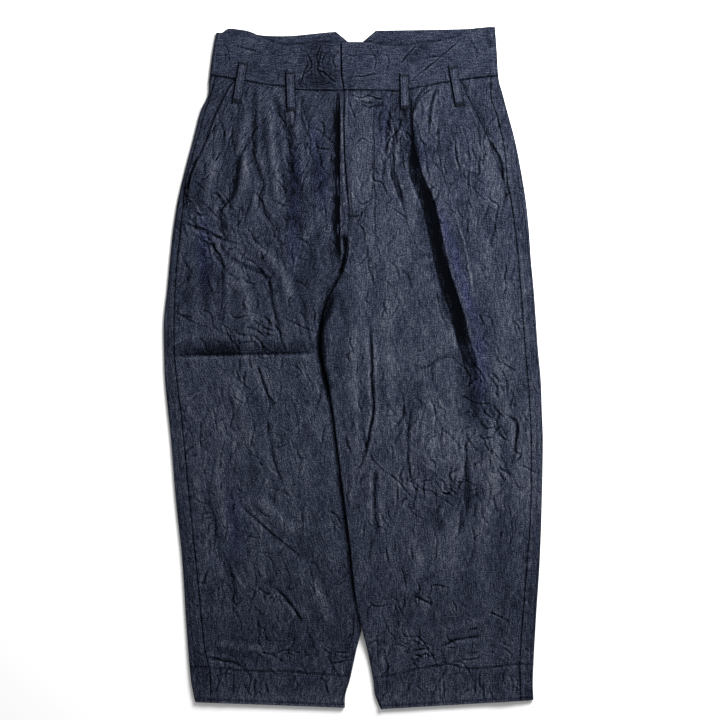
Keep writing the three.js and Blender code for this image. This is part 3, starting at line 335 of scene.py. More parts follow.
# Sharp creases: height, reach to each side, and the run
CREASES = [
    # Left thigh and the pleats below the band
    (-0.55, 2.2, [(-141, 400), (-141, 342), (-141, 300), (-129, 266), (-134, 247), (-129, 232),
         (-111, 203)]),
    (-0.6, 2.2, [(-117, 395), (-101, 355), (-92, 336), (-89, 293), (-85, 276), (-78, 260)]),
    (-0.6, 2.3, [(-144, 336), (-162, 297), (-172, 249)]),
    (-0.9, 2.2, [(-132, 257), (-128, 225), (-107, 192)]),
    (-0.8, 2.6, [(-172, 247), (-189, 225), (-187, 197), (-178, 179)]),
    (-0.7, 2.4, [(-56, 345), (-39, 330), (-25, 317)]), (-1.2, 2.6, [(-240, 206), (-209, 196), (-181, 182)]),
    (-1.1, 2.4, [(-205, 182), (-191, 163), (-182, 136)]),
    (-0.8, 2.3, [(-185, 164), (-161, 149), (-149, 154), (-125, 132), (-121, 120), (-115, 94), (-107, 60),
         (-98, 26)]),
    (-0.9, 2.2, [(-247, 169), (-241, 150), (-232, 137)]),
    (-0.8, 2.4, [(-211, 133), (-202, 112), (-195, 87)]),
    (-0.6, 2.7, [(-188, 162), (-187, 112), (-188, 50)]), (-0.8, 2, [(-61, 103), (-55, 69), (-52, 31)]),
    (-0.7, 2, [(-162, 233), (-165, 203), (-157, 174)]), (-0.7, 2, [(-145, 214), (-139, 183), (-122, 166)]),
    (0.8, 3.4, [(-225, 230), (-214, 213), (-205, 190)]), (-0.8, 2, [(-82, 189), (-68, 179), (-55, 174)]),
    (-0.6, 2, [(-212, 355), (-215, 312), (-211, 272)]), (-0.6, 2, [(-195, 369), (-201, 326), (-199, 283)]),
    (-0.7, 2.2, [(-75, 383), (-64, 343), (-61, 297)]),
    # Into the fold across the left knee
    (-0.4, 1.9, [(-254, 20), (-205, 20), (-131, 21), (-51, 23)]),
    (-1.1, 2.4, [(-178, 44), (-169, 34), (-162, 24)]), (-1, 2.4, [(-144, 70), (-131, 60), (-115, 53)]),
    (-1.1, 2.4, [(-135, 39), (-125, 29), (-115, 21)]), (-1.2, 2.4, [(-114, 66), (-104, 46), (-97, 23)]),
    (-1, 2.3, [(-91, 70), (-72, 59), (-52, 49)]), (-0.8, 2.2, [(-221, 46), (-211, 33), (-207, 23)]),
    (-0.8, 2.2, [(-158, 36), (-145, 37), (-134, 33)]),
    # Left shin
    (-1, 2.3, [(-137, 11), (-131, -14), (-124, -34), (-114, -50)]),
    (-0.8, 2.2, [(-172, -11), (-158, -23), (-144, -34)]),
    (-0.9, 2.2, [(-122, -73), (-122, -89), (-124, -100)]),
    (-0.9, 2.2, [(-121, -116), (-112, -137), (-102, -160)]),
    (-0.9, 2, [(-164, -193), (-128, -227), (-104, -247), (-71, -272)]),
    (-0.6, 2.4, [(-218, -72), (-218, -103), (-215, -132)]),
    (-0.7, 2.2, [(-184, -100), (-188, -123), (-192, -146)]),
    (-0.9, 2.3, [(-36, -203), (-24, -213), (-14, -227)]),
    (-0.8, 2.2, [(-177, -282), (-174, -295), (-168, -306)]),
    (-1.1, 2.4, [(-112, -312), (-97, -327), (-84, -345), (-71, -363)]),
    (-1, 2, [(-205, -416), (-188, -418), (-175, -420), (-157, -428)]),
    (-1.3, 2.4, [(-131, -405), (-119, -409), (-109, -415)]), (-0.9, 2.2, [(-98, -408), (-89, -416)]),
    (-0.9, 2.2, [(-46, -398), (-32, -408)]), (-0.7, 2.2, [(-172, -436), (-171, -468)]),
    (-0.8, 2.3, [(-148, -53), (-142, -86), (-148, -120)]),
    (-0.7, 2.2, [(-91, -39), (-81, -66), (-78, -103)]),
    (-0.8, 2.3, [(-179, -39), (-172, -63), (-177, -92)]),
    (-0.7, 2.2, [(-62, -289), (-54, -320), (-56, -349)]),
    (-0.8, 2.3, [(-145, -275), (-139, -310), (-147, -337)]),
    (-0.7, 2.3, [(-202, -196), (-197, -232), (-201, -263)]),
    # Right thigh and hip
    (-0.8, 2, [(-2, 388), (6, 379)]), (-0.9, 2, [(8, 383), (18, 379), (28, 379)]),
    (-0.8, 2, [(31, 370), (41, 380)]), (-0.7, 2, [(19, 366), (25, 373)]),
    (-1, 2.3, [(112, 398), (97, 388), (85, 369)]), (-0.8, 1.9, [(121, 400), (122, 378)]),
    (-1, 2.2, [(54, 366), (51, 343), (46, 323)]), (-1, 2.2, [(69, 360), (65, 343), (51, 325), (48, 303)]),
    (-0.7, 2.2, [(62, 283), (71, 232), (79, 204), (88, 182)]),
    (-0.7, 2, [(26, 297), (31, 255), (31, 209), (31, 179)]),
    (-1.3, 2.6, [(27, 278), (30, 268), (41, 266), (49, 248)]),
    (-1.4, 1.9, [(7, 237), (13, 234), (21, 238)]), (-0.9, 2.2, [(162, 232), (163, 209), (162, 189)]),
    (-1, 2.3, [(185, 255), (197, 240), (207, 230), (201, 200), (195, 169)]),
    (-0.9, 2.2, [(217, 152), (217, 120), (214, 92)]), (-0.7, 2, [(228, 72), (231, 51)]),
    (-1, 2.4, [(141, 335), (147, 309), (151, 283)]), (-0.8, 2.2, [(178, 355), (182, 323), (179, 286)]),
    (-0.7, 2, [(157, 346), (164, 312), (167, 275)]), (0.8, 2.7, [(145, 226), (164, 152), (172, 97)]),
    (-0.7, 2.2, [(119, 112), (125, 77), (134, 54)]), (-0.8, 2.3, [(201, 358), (194, 346), (187, 326)]),
    (-1.2, 1.9, [(-6, 391), (8, 386), (22, 389), (34, 385), (44, 388)]),
    (-1, 1.9, [(12, 376), (24, 372), (38, 376), (50, 373)]), (-1, 1.9, [(-4, 378), (-2, 366), (2, 356)]),
    (-0.9, 1.9, [(6, 322), (14, 328), (24, 322)]), (-1.1, 2, [(4, 208), (9, 213), (14, 222)]),
    (-0.9, 2, [(8, 205), (14, 196), (15, 180)]), (-0.9, 2.2, [(98, 330), (104, 300), (110, 268)]),
    (-0.8, 2.2, [(120, 320), (128, 280), (140, 244)]),
    # Right knee and shin
    (-0.45, 2, [(82, 7), (95, 1), (105, 1), (115, 9), (131, 16), (148, 14)]),
    (-1.3, 2.6, [(24, 54), (26, 0), (29, -50), (28, -73), (21, -104), (15, -133)]),
    (-1, 2.3, [(32, -140), (31, -200), (34, -240)]), (-0.7, 1.9, [(15, -217), (18, -263)]),
    (-0.7, 1.9, [(24, -220), (26, -260)]), (-0.65, 1.9, [(84, -46), (79, -103), (81, -153), (92, -168)]),
    (-0.8, 2, [(99, -174), (112, -176), (124, -186)]),
    (-0.75, 1.9, [(122, -176), (137, -179), (148, -152)]),
    (-1.2, 2.4, [(215, -64), (234, -80), (232, -116), (240, -124), (225, -144)]),
    (-0.9, 2.3, [(162, -103), (161, -134), (162, -167)]), (-0.9, 2.3, [(91, -326), (109, -335)]),
    (-0.9, 2.2, [(141, -332), (147, -347)]), (-0.9, 2.3, [(191, -349), (220, -360)]),
    (-1, 2, [(127, -399), (148, -388), (182, -383)]), (-1.1, 2.3, [(125, -419), (152, -426)]),
    (-1.1, 2.3, [(109, -405), (119, -426)]), (-0.9, 2.2, [(89, -453), (108, -466)]),
    (-1, 2.2, [(149, 9), (167, -10), (164, -34)]), (-1, 2.2, [(169, 11), (187, -14), (194, -43)]),
    (-0.9, 2.2, [(155, -39), (178, -51), (195, -49)]), (-0.8, 2, [(179, -14), (158, -29)]),
    (-0.9, 2.2, [(209, 3), (221, -23), (220, -49)]), (-0.8, 2.2, [(109, -39), (118, -66), (114, -97)]),
    (-0.8, 2.2, [(189, -89), (197, -120), (191, -152)]), (-0.9, 2.3, [(56, -146), (64, -186), (58, -217)]),
    (-0.8, 2.2, [(111, -217), (119, -252), (114, -283)]),
    (-0.8, 2.2, [(167, -210), (174, -246), (167, -277)]),
    (-0.7, 2.2, [(221, -189), (227, -229), (222, -263)]), (-0.8, 2.2, [(68, -275), (75, -317), (69, -349)]),
    # Waistband
    (-1.8, 2.4, [(91, 460), (79, 449), (68, 435)]),
    (-2, 2.4, [(154, 472), (138, 456), (115, 438), (82, 410)]),
    (-0.9, 1.9, [(-15, 445), (6, 447), (31, 446)]), (-1.3, 2, [(2, 417), (18, 418), (34, 420)]),
    (-1.6, 2.3, [(-65, 436), (-71, 420), (-75, 406)]), (-1.3, 2.2, [(-164, 459), (-151, 455), (-139, 453)]),
    (-1.3, 2.7, [(-45, 458), (-51, 432), (-42, 412)]), (-1.1, 2.2, [(46, 452), (52, 440), (48, 426)]),
    (-1.4, 2.2, [(-47, 462), (-54, 446), (-48, 432)]), (-1.6, 2.2, [(-66, 452), (-60, 434), (-70, 418)]),
    (-1.4, 2.2, [(-38, 450), (-45, 436), (-40, 418)]), (-1.3, 2.2, [(-52, 428), (-38, 420), (-26, 408)]),
    (-1.2, 2.2, [(-20, 452), (-30, 440), (-26, 424)]), (-1, 2.2, [(-120, 452), (-105, 446), (-92, 448)]),
    (-1, 2.2, [(20, 458), (32, 440), (30, 424)]), (-1, 2.2, [(100, 440), (118, 446), (136, 444)]),
    (-0.9, 2.2, [(166, 470), (176, 452), (172, 436)]), (-0.9, 2.2, [(-184, 462), (-178, 446), (-186, 430)]),
]

# Belt loops that lie on the cloth and shade it: top x, top level, foot x, foot level
LOOPS = [(-157, 436, -167, 379), (-90.5, 422.5, -88.5, 367), (72.5, 419, 73.5, 370), (142, 430, 152, 374.5)]
LOOP_WIDE = 11.4

# Lines of stitches that draw the cloth in: the inseam side of each hem, the fly's curve and the pockets
HEM_STITCHES = {
    "left": [(-206, -427), (-149, -432.6), (-112, -432.6), (-58, -436), (-3, -440)],
    "right": [(29, -442), (41, -440.4), (129, -423), (158, -428), (206, -426), (238, -422.3), (258, -423)],
}
HEM_EDGE_STITCH = 5
MOUTH_STITCH = 7.5
FLY_STITCHES = [
    (28.6, 396), (28.8, 330), (28.6, 267), (25.7, 247), (22, 234.5), (15, 223), (3.6, 214.5), (-5, 217.4),
]
STITCH_TROUGH = (-0.4, 2.1)
UNEVEN_REACH = 6
# How far lines wander from straight, and over what distance
WANDER, WANDER_OVER = 1.6, 13

# Soft waves all over: height, spacing across and along, and turn in degrees
WAVES = [(0.6, 40, 130, 4), (0.17, 17, 46, -14), (0.13, 8, 22, 10), (0.1, 3.6, 8, 0)]
# Small creases all over: how many, height, reach, shortest, longest, how far they turn from straight down in
# degrees, and whether they are sharp
CREASE_KINDS = [
    (90, 0.42, 13, 40, 110, 12, False), (90, -0.46, 12, 36, 100, 14, False),
    (360, -0.6, 2.5, 16, 60, 20, True), (240, 0.4, 3, 14, 48, 24, True), (560, -0.45, 2.2, 8, 26, 44, True),
]
CREASE_SEED = 23
CREASE_FIELD = (272, 488)
CREASE_BEND = 0.11
PLACE_BEND = 0.14
# Chance of a crease: mean, swing, and the size of the patches across and along
CREASE_CHANCE = (0.55, 0.9, 70, 90)
# Places creased more than the rest: x, level, spread across and along, how many, turn from straight down and
# how far that varies
CREASED_PLACES = [
    (-212, 204, 24, 28, 34, 48, 16), (-141, 161, 40, 45, 40, 30, 22), (-162, 58, 62, 16, 44, 42, 20),
    (-76, 312, 24, 48, 26, 22, 14), (-184, 335, 28, 40, 26, -10, 14), (59, 326, 18, 46, 30, 10, 16),
    (167, 283, 34, 60, 34, 12, 14), (202, -74, 30, 40, 40, 25, 28), (124, -162, 36, 16, 30, 38, 40),
    (12, -46, 8, 90, 20, -4, 8), (-134, -74, 50, 50, 34, 28, 20), (-119, -275, 55, 55, 34, 38, 20),
    (109, -355, 55, 40, 30, 60, 32), (-119, -412, 62, 14, 24, 68, 26), (140, -412, 60, 12, 22, 72, 26),
    (-110, -458, 62, 12, 26, 4, 12), (150, -456, 60, 12, 26, 2, 12), (178, 40, 24, 50, 20, 18, 18),
    (60, -300, 30, 90, 26, 6, 14),
]
# The creases of those places: height, reach, shortest and longest
PLACE_CREASE = (-0.75, 2.2, 9, 38)
# Puckers beside the seams: height, spacing along and reach; and the rise over the seams' allowances
PUCKER = (0.3, 4.6, 6)
ALLOWANCE, ALLOWANCE_WIDE = 0.35, 10


def mix(a, b, share):
    """From a at share 0 to b at share 1."""
    return a + (b - a) * share


def ease(share):
    """From 0 to 1 with a soft start and end."""
    share = np.clip(share, 0, 1)
    return share * share * (3 - 2 * share)


def near_line(off, reach):
    """1 on a line, and almost nothing at twice its reach."""
    return np.exp(-((off / reach) ** 2))


def to_ends(reached, length, over, extra=0):
    """1 along the middle of a run, and less over a distance from both of its ends."""
    return ease((np.minimum(reached, length - reached) + extra) / over)


def reader(rows, column=1):
    """Reads a column of a table smoothly at any place along its first one."""
    rows = sorted(rows)
    at = np.array([row[0] for row in rows], float)
    value = np.array([row[column] for row in rows], float)
    slope = np.empty_like(value)
    slope[1:-1] = (value[2:] - value[:-2]) / (at[2:] - at[:-2])
    slope[0] = (value[1] - value[0]) / (at[1] - at[0])
    slope[-1] = (value[-1] - value[-2]) / (at[-1] - at[-2])

    def read(place):
        place = np.clip(place, at[0], at[-1])
        i = np.clip(np.searchsorted(at, place, side="right") - 1, 0, len(at) - 2)
        span = at[i + 1] - at[i]
        s = (place - at[i]) / span
        rise = value[i + 1] - value[i]
        start = (slope[i] * span - rise) * (1 - s)
        end = (slope[i + 1] * span - rise) * s
        return value[i] + rise * s + s * (1 - s) * (start - end)

    return read


SIGN = {"left": -1, "right": 1}
outline = {"left": reader(OUTLINE, 1), "right": reader(OUTLINE, 2)}
side_seam = {half: reader(SIDE_SEAM[half]) for half in SIGN}
mouth = {half: reader(MOUTH[half]) for half in SIGN}
parting = reader(PARTING)
leg_lap = reader(LEG_LAP)
fly_bulk = reader(FLY_BULK)
fade_and_light_left, fade_and_light_right = reader(FADE_AND_LIGHT, 1), reader(FADE_AND_LIGHT, 2)
edge_height = reader(EDGE_HEIGHT)
waist_seam = reader(WAIST_SEAM)
hem_row = {half: reader(HEM_STITCHES[half]) for half in SIGN}


def fade_and_light(x, y):
    """How much lighter or darker than elsewhere the cloth is painted: partly fading, and partly painted light
    and shade.
    """
    level = mix(fade_and_light_left(y), fade_and_light_right(y), ease((x + FADE_AND_LIGHT_CHANGE / 2) / FADE_AND_LIGHT_CHANGE))
    for more, middle_x, middle_y, wide, tall in TONE_PATCHES:
        level = level + more * np.exp(-(((x - middle_x) / wide) ** 4) - ((y - middle_y) / tall) ** 4)
    return level


def leg_share(y):
    """1 on the legs and 0 above the crotch."""
    return ease((CROTCH_Y + CROTCH_SOFT - y) / (3 * CROTCH_SOFT))


def inner_edge(half, y):
    """The inner edge of a leg; the left one runs on under the right one."""
    return parting(y) - LEG_GAP + leg_lap(y) if half == "left" else parting(y)


def seen_edge(y):
    """Where the left leg stops showing."""
    return np.minimum(parting(y), inner_edge("left", y) - SEEN_MARGIN)


def support(half, x, y):
    """What the back lies on: the surface, or for the right leg the left one."""
    if half == "left":
        return np.zeros(np.broadcast(x, y).shape)
    start = ease((RISE["start"] - y) / (RISE["start"] - RISE["full"]))
    end = ease((y - RISE["end"]) / (RISE["hold"] - RISE["end"]))
    across = ease((inner_edge("left", y) + LAP_REACH - x) / LAP_REACH)
    lapped = held_above(lowest_stack("left", x, y), edge_height(y) - LAP_SINK * lap_share(x, y))
    return (lapped + LAY_GAP) * start * end * across


def rounded(run, parts=4):
    """The run as a smooth curve through its points."""
    points = np.array(run, float)
    if len(points) < 3:
        return points
    padded = np.vstack([2 * points[0] - points[1], points, 2 * points[-1] - points[-2]])
    smooth = []
    for a, b, c, d in zip(padded, padded[1:], padded[2:], padded[3:]):
        for s in np.arange(parts) / parts:
            smooth.append(b + 0.5 * s * (c - a + s * (2 * a - 5 * b + 4 * c - d + s * (3 * (b - c) + d - a))))
    return np.array([*smooth, points[-1]])


def along_run(run, x, y, reach):
    """Which places are near a run, how far off they are, on which side, and how far along it."""
    low, high = run.min(0) - reach, run.max(0) + reach
    near = (x > low[0]) & (x < high[0]) & (y > low[1]) & (y < high[1])
    px, py = x[near], y[near]
    off = np.full(px.shape, np.inf)
    side, reached, travelled = np.zeros(px.shape), np.zeros(px.shape), 0
    for (ax, ay), (bx, by) in zip(run, run[1:]):
        dx, dy = bx - ax, by - ay
        length = math.hypot(dx, dy)
        held = np.clip(((px - ax) * dx + (py - ay) * dy) / length, 0, length)
        away = np.hypot(px - ax - dx * held / length, py - ay - dy * held / length)
        closer = away < off
        off = np.where(closer, away, off)
        side = np.where(closer, dx * (py - ay) - dy * (px - ax), side)
        reached = np.where(closer, travelled + held, reached)
        travelled += length
    return near, off, side, reached, travelled


def main_folds(x, y):
    """Height of the large folds and pleats."""
    relief = np.zeros(x.shape)
    for high, left, right, run in FOLDS:
        near, off, side, reached, length = along_run(rounded(run), x, y, max(left, right))
        reach = np.where(side > 0, right, left)
        taper = to_ends(reached, length, min(0.3 * length, FOLD_TAPER), 6)
        share = 1 - np.minimum(1, off / reach)
        narrow = high < 0 and max(left, right) < NARROW_FOLD
        relief[near] += high * taper * (NARROW_DEPTH * share**1.4 if narrow else ease(share))
    return relief


def lattice(seed):
    """Smooth random values from -1 to 1 on a plane, the same each time."""
    size = 128
    value = np.random.default_rng(seed).uniform(-1, 1, (size, size))

    def read(u, v):
        i, j = np.floor(u).astype(int), np.floor(v).astype(int)
        s, t = ease(u - i), ease(v - j)
        i, j, k, m = i % size, j % size, (i + 1) % size, (j + 1) % size
        return mix(mix(value[i, j], value[k, j], s), mix(value[i, m], value[k, m], s), t)

    return read


wander_x, wander_y, patches = lattice(1), lattice(2), lattice(3)
waves = [lattice(11 + i) for i in range(len(WAVES))]


def wandered(x, y):
    """Places moved a little aside, so that nothing drawn on them runs straight."""
    u, v = x / WANDER_OVER, y / WANDER_OVER
    return x + WANDER * wander_x(u, v), y + WANDER * wander_y(u, v)


def scattered_creases():
    """Rows of height, reach, sharpness and run for the small creases, closer together in some patches."""
    pick = np.random.default_rng(CREASE_SEED)
    half_wide, half_tall = CREASE_FIELD
    mean, swing, patch_wide, patch_tall = CREASE_CHANCE
    made = []
    for count, high, reach, shortest, longest, turn, sharp in CREASE_KINDS:
        while count:
            x, y = pick.uniform(-half_wide, half_wide), pick.uniform(-half_tall, half_tall)
            chance, lean, length = pick.random(), pick.normal(0, turn), pick.uniform(shortest, longest)
            bend = pick.normal(0, CREASE_BEND)
            strength, spread = pick.uniform(0.35, 1.3), pick.uniform(0.7, 1.4)
            if chance > mean + swing * patches(x / patch_wide, y / patch_tall):
                continue
            along = np.array([math.sin(math.radians(lean)), -math.cos(math.radians(lean))]) * length
            start, aside = np.array([x, y]) - along / 2, np.array([-along[1], along[0]]) * bend
            run = rounded([start, start + along * 0.4 + aside, start + along])
            made.append((high * strength, reach * spread, sharp, run))
            count -= 1
    high, reach, shortest, longest = PLACE_CREASE
    for x, y, wide, tall, count, turn, varied in CREASED_PLACES:
        for _ in range(count):
            middle = np.array([pick.normal(x, wide), pick.normal(y, tall)])
            lean, length = math.radians(pick.normal(turn, varied)), pick.uniform(shortest, longest)
            along = np.array([math.sin(lean), -math.cos(lean)]) * length
            aside = np.array([-along[1], along[0]]) * pick.normal(0, PLACE_BEND)
            run = rounded([middle - along / 2, middle - along * 0.1 + aside, middle + along / 2])
            made.append((high * pick.uniform(0.4, 1.4), reach * pick.uniform(0.8, 1.25), True, run))
    return made


SMALL_CREASES = scattered_creases()


def crumpling(x, y):
    """Height of the waves and the small creases that the cloth has all over."""
    x, y = wandered(x, y)
    relief = np.zeros(x.shape)
    for wave, (high, wide, long, turn) in zip(waves, WAVES):
        c, s = math.cos(math.radians(turn)), math.sin(math.radians(turn))
        relief += high * wave((x * c + y * s) / wide, (y * c - x * s) / long)
    low_x, high_x, low_y, high_y = x.min(), x.max(), y.min(), y.max()
    for high, reach, sharp, run in SMALL_CREASES:
        left, bottom, right, top = *run.min(0), *run.max(0)
        if left > high_x + reach or right < low_x - reach or bottom > high_y + reach or top < low_y - reach:
            continue
        near, off, _, reached, length = along_run(run, x, y, reach)
        taper = to_ends(reached, length, 0.35 * length)
        share = np.maximum(0, 1 - off / reach)
        relief[near] += high * taper * (share**1.3 if sharp else ease(share))
    return relief


def lines(x, y, drawn):
    """Height of sharp creases and lines of stitches: rows of height, reach and run."""
    relief = np.zeros(x.shape)
    wx, wy = wandered(x, y)
    for high, reach, run in drawn:
        near, off, _, reached, length = along_run(rounded(run), wx, wy, reach)
        taper = to_ends(reached, length, 0.25 * length, 2)
        taper *= 0.9 + 0.5 * wander_x(reached / 8, length) if reach < UNEVEN_REACH else 1
        relief[near] += high * taper * np.maximum(0, 1 - off / reach) ** 1.3
    return relief


def slot_shade(x, y):
    """How little light reaches each place: in deep slots, along seams and stitches, and beside the loops."""
    shade = np.zeros(x.shape)
    for deep, left, right, run in SLOTS + MARKS_AND_SHADE:
        near, off, side, reached, length = along_run(rounded(run), x, y, max(left, right))
        reach = np.where(side > 0, right, left) * (1 + SLOT_UNEVEN * wander_x(reached / 9, off / 30 + deep))
        taper = to_ends(reached, length, 0.2 * length, 2)
        shade[near] = np.maximum(shade[near], deep * taper * np.maximum(0, 1 - off / reach) ** 0.8)

    deep, reach = SEAM_SHADE
    uneven = deep * (1 + 0.5 * wander_x(x / 7, y / 7))
    for half, out in SIGN.items():
        below_band = (out * x > 0) & (y < waist_seam(x))
        from_seam = out * (x - side_seam[half](y))
        side_lines = sum(share * near_line(from_seam - off, reach) for off, share in SIDE_LINES)
        shade += np.where(below_band, uneven * side_lines, 0)
        past_mouth = out * (x - mouth[half](y))
        slot = np.where(past_mouth > 0, MOUTH_SHADE[0] * near_line(past_mouth, MOUTH_SHADE[1]), 0)
        # A painted highlight along the turned edge of the mouth
        mouth_highlight = MOUTH_EDGE[half] * near_line(past_mouth + MOUTH_EDGE_IN, MOUTH_EDGE_REACH)
        shade += np.where(below_band & (y > POCKET_FOOT[half]), slot - mouth_highlight, 0)
        inner_x, inner_y, outer_x, outer_y = HEM_EDGE[half]
        from_edge = y - mix(inner_y, outer_y, (x - inner_x) / (outer_x - inner_x)) - HEM_EDGE_STITCH
        from_stitches = np.minimum(np.abs(from_edge), np.abs(y - hem_row[half](x)))
        shade += np.where(out * x > 0, DEEP_LINE * uneven * near_line(from_stitches, reach), 0)
    shade += DEEP_LINE * uneven * near_line(y - waist_seam(x), reach)

    # Beside the loops, more on their left, which is away from the light
    deep, reach = LOOP_SHADE
    for top_x, top_y, foot_x, foot_y in LOOPS:
        along = np.clip((top_y - y) / (top_y - foot_y), -0.02, 1.02)
        middle = mix(top_x, foot_x, along)
        past_end = 1.5 * np.abs(y - mix(top_y, foot_y, along))
        left = np.abs(x - middle + LOOP_WIDE / 2 + 0.6)
        right = 2 * np.abs(x - middle - LOOP_WIDE / 2)
        off = np.hypot(np.minimum(left, right), past_end)
        shade = np.maximum(shade, deep * np.maximum(0, 1 - off / reach))
    return shade


def unworn(x, y):
    """How much each place has kept its deeper blue."""
    amount = np.zeros(x.shape)
    for much, reach, run in UNWORN:
        near, off, _, reached, length = along_run(rounded(run), x, y, reach)
        taper = to_ends(reached, length, 0.3 * length, 4)
        share = ease(1 - off / reach) * (1 + 0.4 * wander_y(x[near] / 5, y[near] / 40))
        amount[near] = np.maximum(amount[near], much * taper * share)
    return amount


def fold_share(half, x, y):
    """Folds die out at folded edges, and are weak on the stiff band."""
    outer = ease(np.abs(x - outline[half](y)) / FOLD_FADE)
    from_inner = seen_edge(y) - x if half == "left" else x - parting(y)
    inner = mix(1, ease(from_inner / FOLD_FADE), leg_share(y))
    return outer * inner * mix(1, BAND_STIFFNESS, ease((y - waist_seam(x)) / 25))


def lowest_stack(half, x, y):
    """Least height that the layers at a place need."""
    hem = ease((HEM_LEVEL + HEM_DEPTH + 14 - y) / 12)
    band = ease((y - waist_seam(x) + 14) / 12)
    doubled = mix(LOWEST_STACK, LOWEST_DOUBLED_STACK, np.maximum(hem, band))
    over_pocket = ease((SIGN[half] * (x - mouth[half](y)) + POCKET_UNDERLAP + 8) / 8)
    pocket = over_pocket * ease((y - POCKET_FOOT[half] + 20) / 12)
    return np.maximum(doubled, mix(LOWEST_STACK, LOWEST_POCKET_STACK, pocket))


def lap_share(x, y):
    """1 on the left leg where the right one lies on it, and 0 where it shows."""
    lapped = ease((leg_lap(y) - 2) / 10) * leg_share(y)
    return lapped * ease((x - seen_edge(y) + LAP_SINK_REACH) / LAP_SINK_REACH)


def held_above(lowest, height):
    """A height that never comes down to the lowest one, and nears it softly."""
    return np.where(height > lowest + 1, height, lowest + np.exp(np.minimum(0, height - lowest - 1)))


def front_height(half, x, y, relief):
    """Height of the front's face, with the folds and creases that relief gives."""
    from_fly = ease((x - parting(y) + FLY_BULK_FADE) / FLY_BULK_FADE)
    past_fly = ease((parting(y) + BAND_UNDERLAP + FLY_BULK_FADE - x) / FLY_BULK_FADE)
    sink = LAP_SINK * lap_share(x, y) if half == "left" else 0
    wanted = edge_height(y) + fly_bulk(y) * from_fly * past_fly + relief * fold_share(half, x, y) - sink
    return support(half, x, y) + held_above(lowest_stack(half, x, y), wanted)


def fly_drop(layers, x, y):
    """How far the left side lies below the right one where it runs on under the fly and the band's end."""
    share = ease((x - parting(y) + 3.5) / 3) * ease((y - FLY_FOOT_Y + 24) / 16)
    return (layers * CLOTH + LAY_GAP) * share


def bent_level(half, x, level, seam=waist_seam):
    """The level of a point, bent to the waist seam at the top and to the hem's edge at the bottom."""
    inner_x, inner_y, outer_x, outer_y = HEM_EDGE[half]
    hem_y = mix(inner_y, outer_y, np.clip((x - inner_x) / (outer_x - inner_x), -0.2, 1.1))
    at_waist = ease((level - WAIST_LEVEL + WAIST_BEND_REACH) / WAIST_BEND_REACH)
    at_hem = ease((HEM_LEVEL + HEM_BEND_REACH - level) / HEM_BEND_REACH)
    return level + (seam(x) - SEAM_GAP / 2 - WAIST_LEVEL) * at_waist + (hem_y - HEM_LEVEL) * at_hem


def front_edge(half, y):
    """Outer edge of the front: the pocket's mouth, then the side seam."""
    seam = side_seam[half](y) - SIGN[half] * SEAM_GAP
    return mix(seam, mouth[half](y), ease((y - POCKET_FOOT[half]) / 20))


def puckers(half, x, y):
    """Ripples where the seams draw the cloth in, and the thicker cloth over their allowances."""
    high, spacing, reach = PUCKER
    from_seam = SIGN[half] * (x - side_seam[half](y))
    from_waist = y - waist_seam(x)
    hem_line = hem_row[half](x)
    ripple = 0
    for k, (off, along) in enumerate(((from_seam, y), (from_waist, x), (y - hem_line, x))):
        ripple += high * wander_x(along / spacing, 9.7 * k + off / 14) * near_line(off, reach)
    return ripple + ALLOWANCE * ease(from_seam / 0.8) * ease((ALLOWANCE_WIDE - from_seam) / 2)


def small_relief(half, x, y, stitched):
    """Creases, crumpling, puckers and the troughs along stitches, with the pocket's on a stitched piece."""
    sewn = [(*STITCH_TROUGH, HEM_STITCHES[half])]
    if half == "right":
        sewn.append((*STITCH_TROUGH, FLY_STITCHES))
    if stitched:
        sewn.append((*STITCH_TROUGH, [(x0 - SIGN[half] * MOUTH_STITCH, y0) for y0, x0 in MOUTH[half]]))
    return lines(x, y, CREASES + sewn) + crumpling(x, y) + puckers(half, x, y)


def flat_points(half, x, y, drop=None, stitched=False):
    """Points of the upper face without and with the small creases, as two grids, and the relief that sets
    their wear and painted shade."""
    x, y = np.broadcast_arrays(np.asarray(x, float), np.asarray(y, float))
    folds = main_folds(x, y)
    small = small_relief(half, x, y, stitched)
    down = 0 if drop is None else drop(x, y)
    plain = front_height(half, x, y, folds) - down
    fine = front_height(half, x, y, folds + small) - down
    weak = fold_share(half, x, y)
    relief = np.maximum(folds, -FOLD_TONE) * weak + small * mix(1, weak, 0.5)
    return np.stack([x, y, plain], -1), np.stack([x, y, fine], -1), relief


def inner_radius(half, y):
    """Radius of the fold of a leg's inner edge."""
    x = inner_edge(half, y)
    sink = LAP_SINK * lap_share(x, y) if half == "left" else 0
    return held_above(lowest_stack(half, x, y), edge_height(y) - sink) / 2


INNER_FOLD_TURN = 82


def fold_points(half, flat_x, y, share, upper):
    """Points on the fold of a leg's inner edge: share 1 is on the flat and 0 at the seam."""
    angle = (1 - share) * math.radians(INNER_FOLD_TURN)
    radius = inner_radius(half, y)
    curl = leg_share(y)
    x = mix(flat_x, inner_edge(half, y) + SIGN[half] * radius * (1 - np.sin(angle)), curl)
    drop = curl * radius * (1 - np.cos(angle))
    z = front_height(half, x, y, main_folds(x, y)) - drop if upper else support(half, x, y) + drop
    return np.stack([x, y, z], -1)


def outer_fold_points(half, y, degrees):
    """Points on the fold round the outer edge: 0 is its top and 180 its underside."""
    angle = np.radians(degrees)
    radius = edge_height(y) / 2
    x = outline[half](y) + SIGN[half] * radius * (np.sin(angle) - 1)
    return np.stack([x, y, radius * (1 + np.cos(angle))], -1)


# How far each place stands above its surroundings, lighter as wear and darker in hollows as painted shade, is
# summed at growing distances: more blur, and weight
WEAR_AND_SHADE_WEIGHTS = ((2, 1.55), (6, 0.5), (22, 0.2), (80, 0.12))


def blurred(values, times):
    """A grid of values, each averaged with its neighbours so many times."""
    for _ in range(times):
        padded = np.pad(values, 1, mode="edge")
        values = (padded[:-2, 1:-1] + padded[2:, 1:-1] + padded[1:-1, :-2] + padded[1:-1, 2:]) / 4
    return values


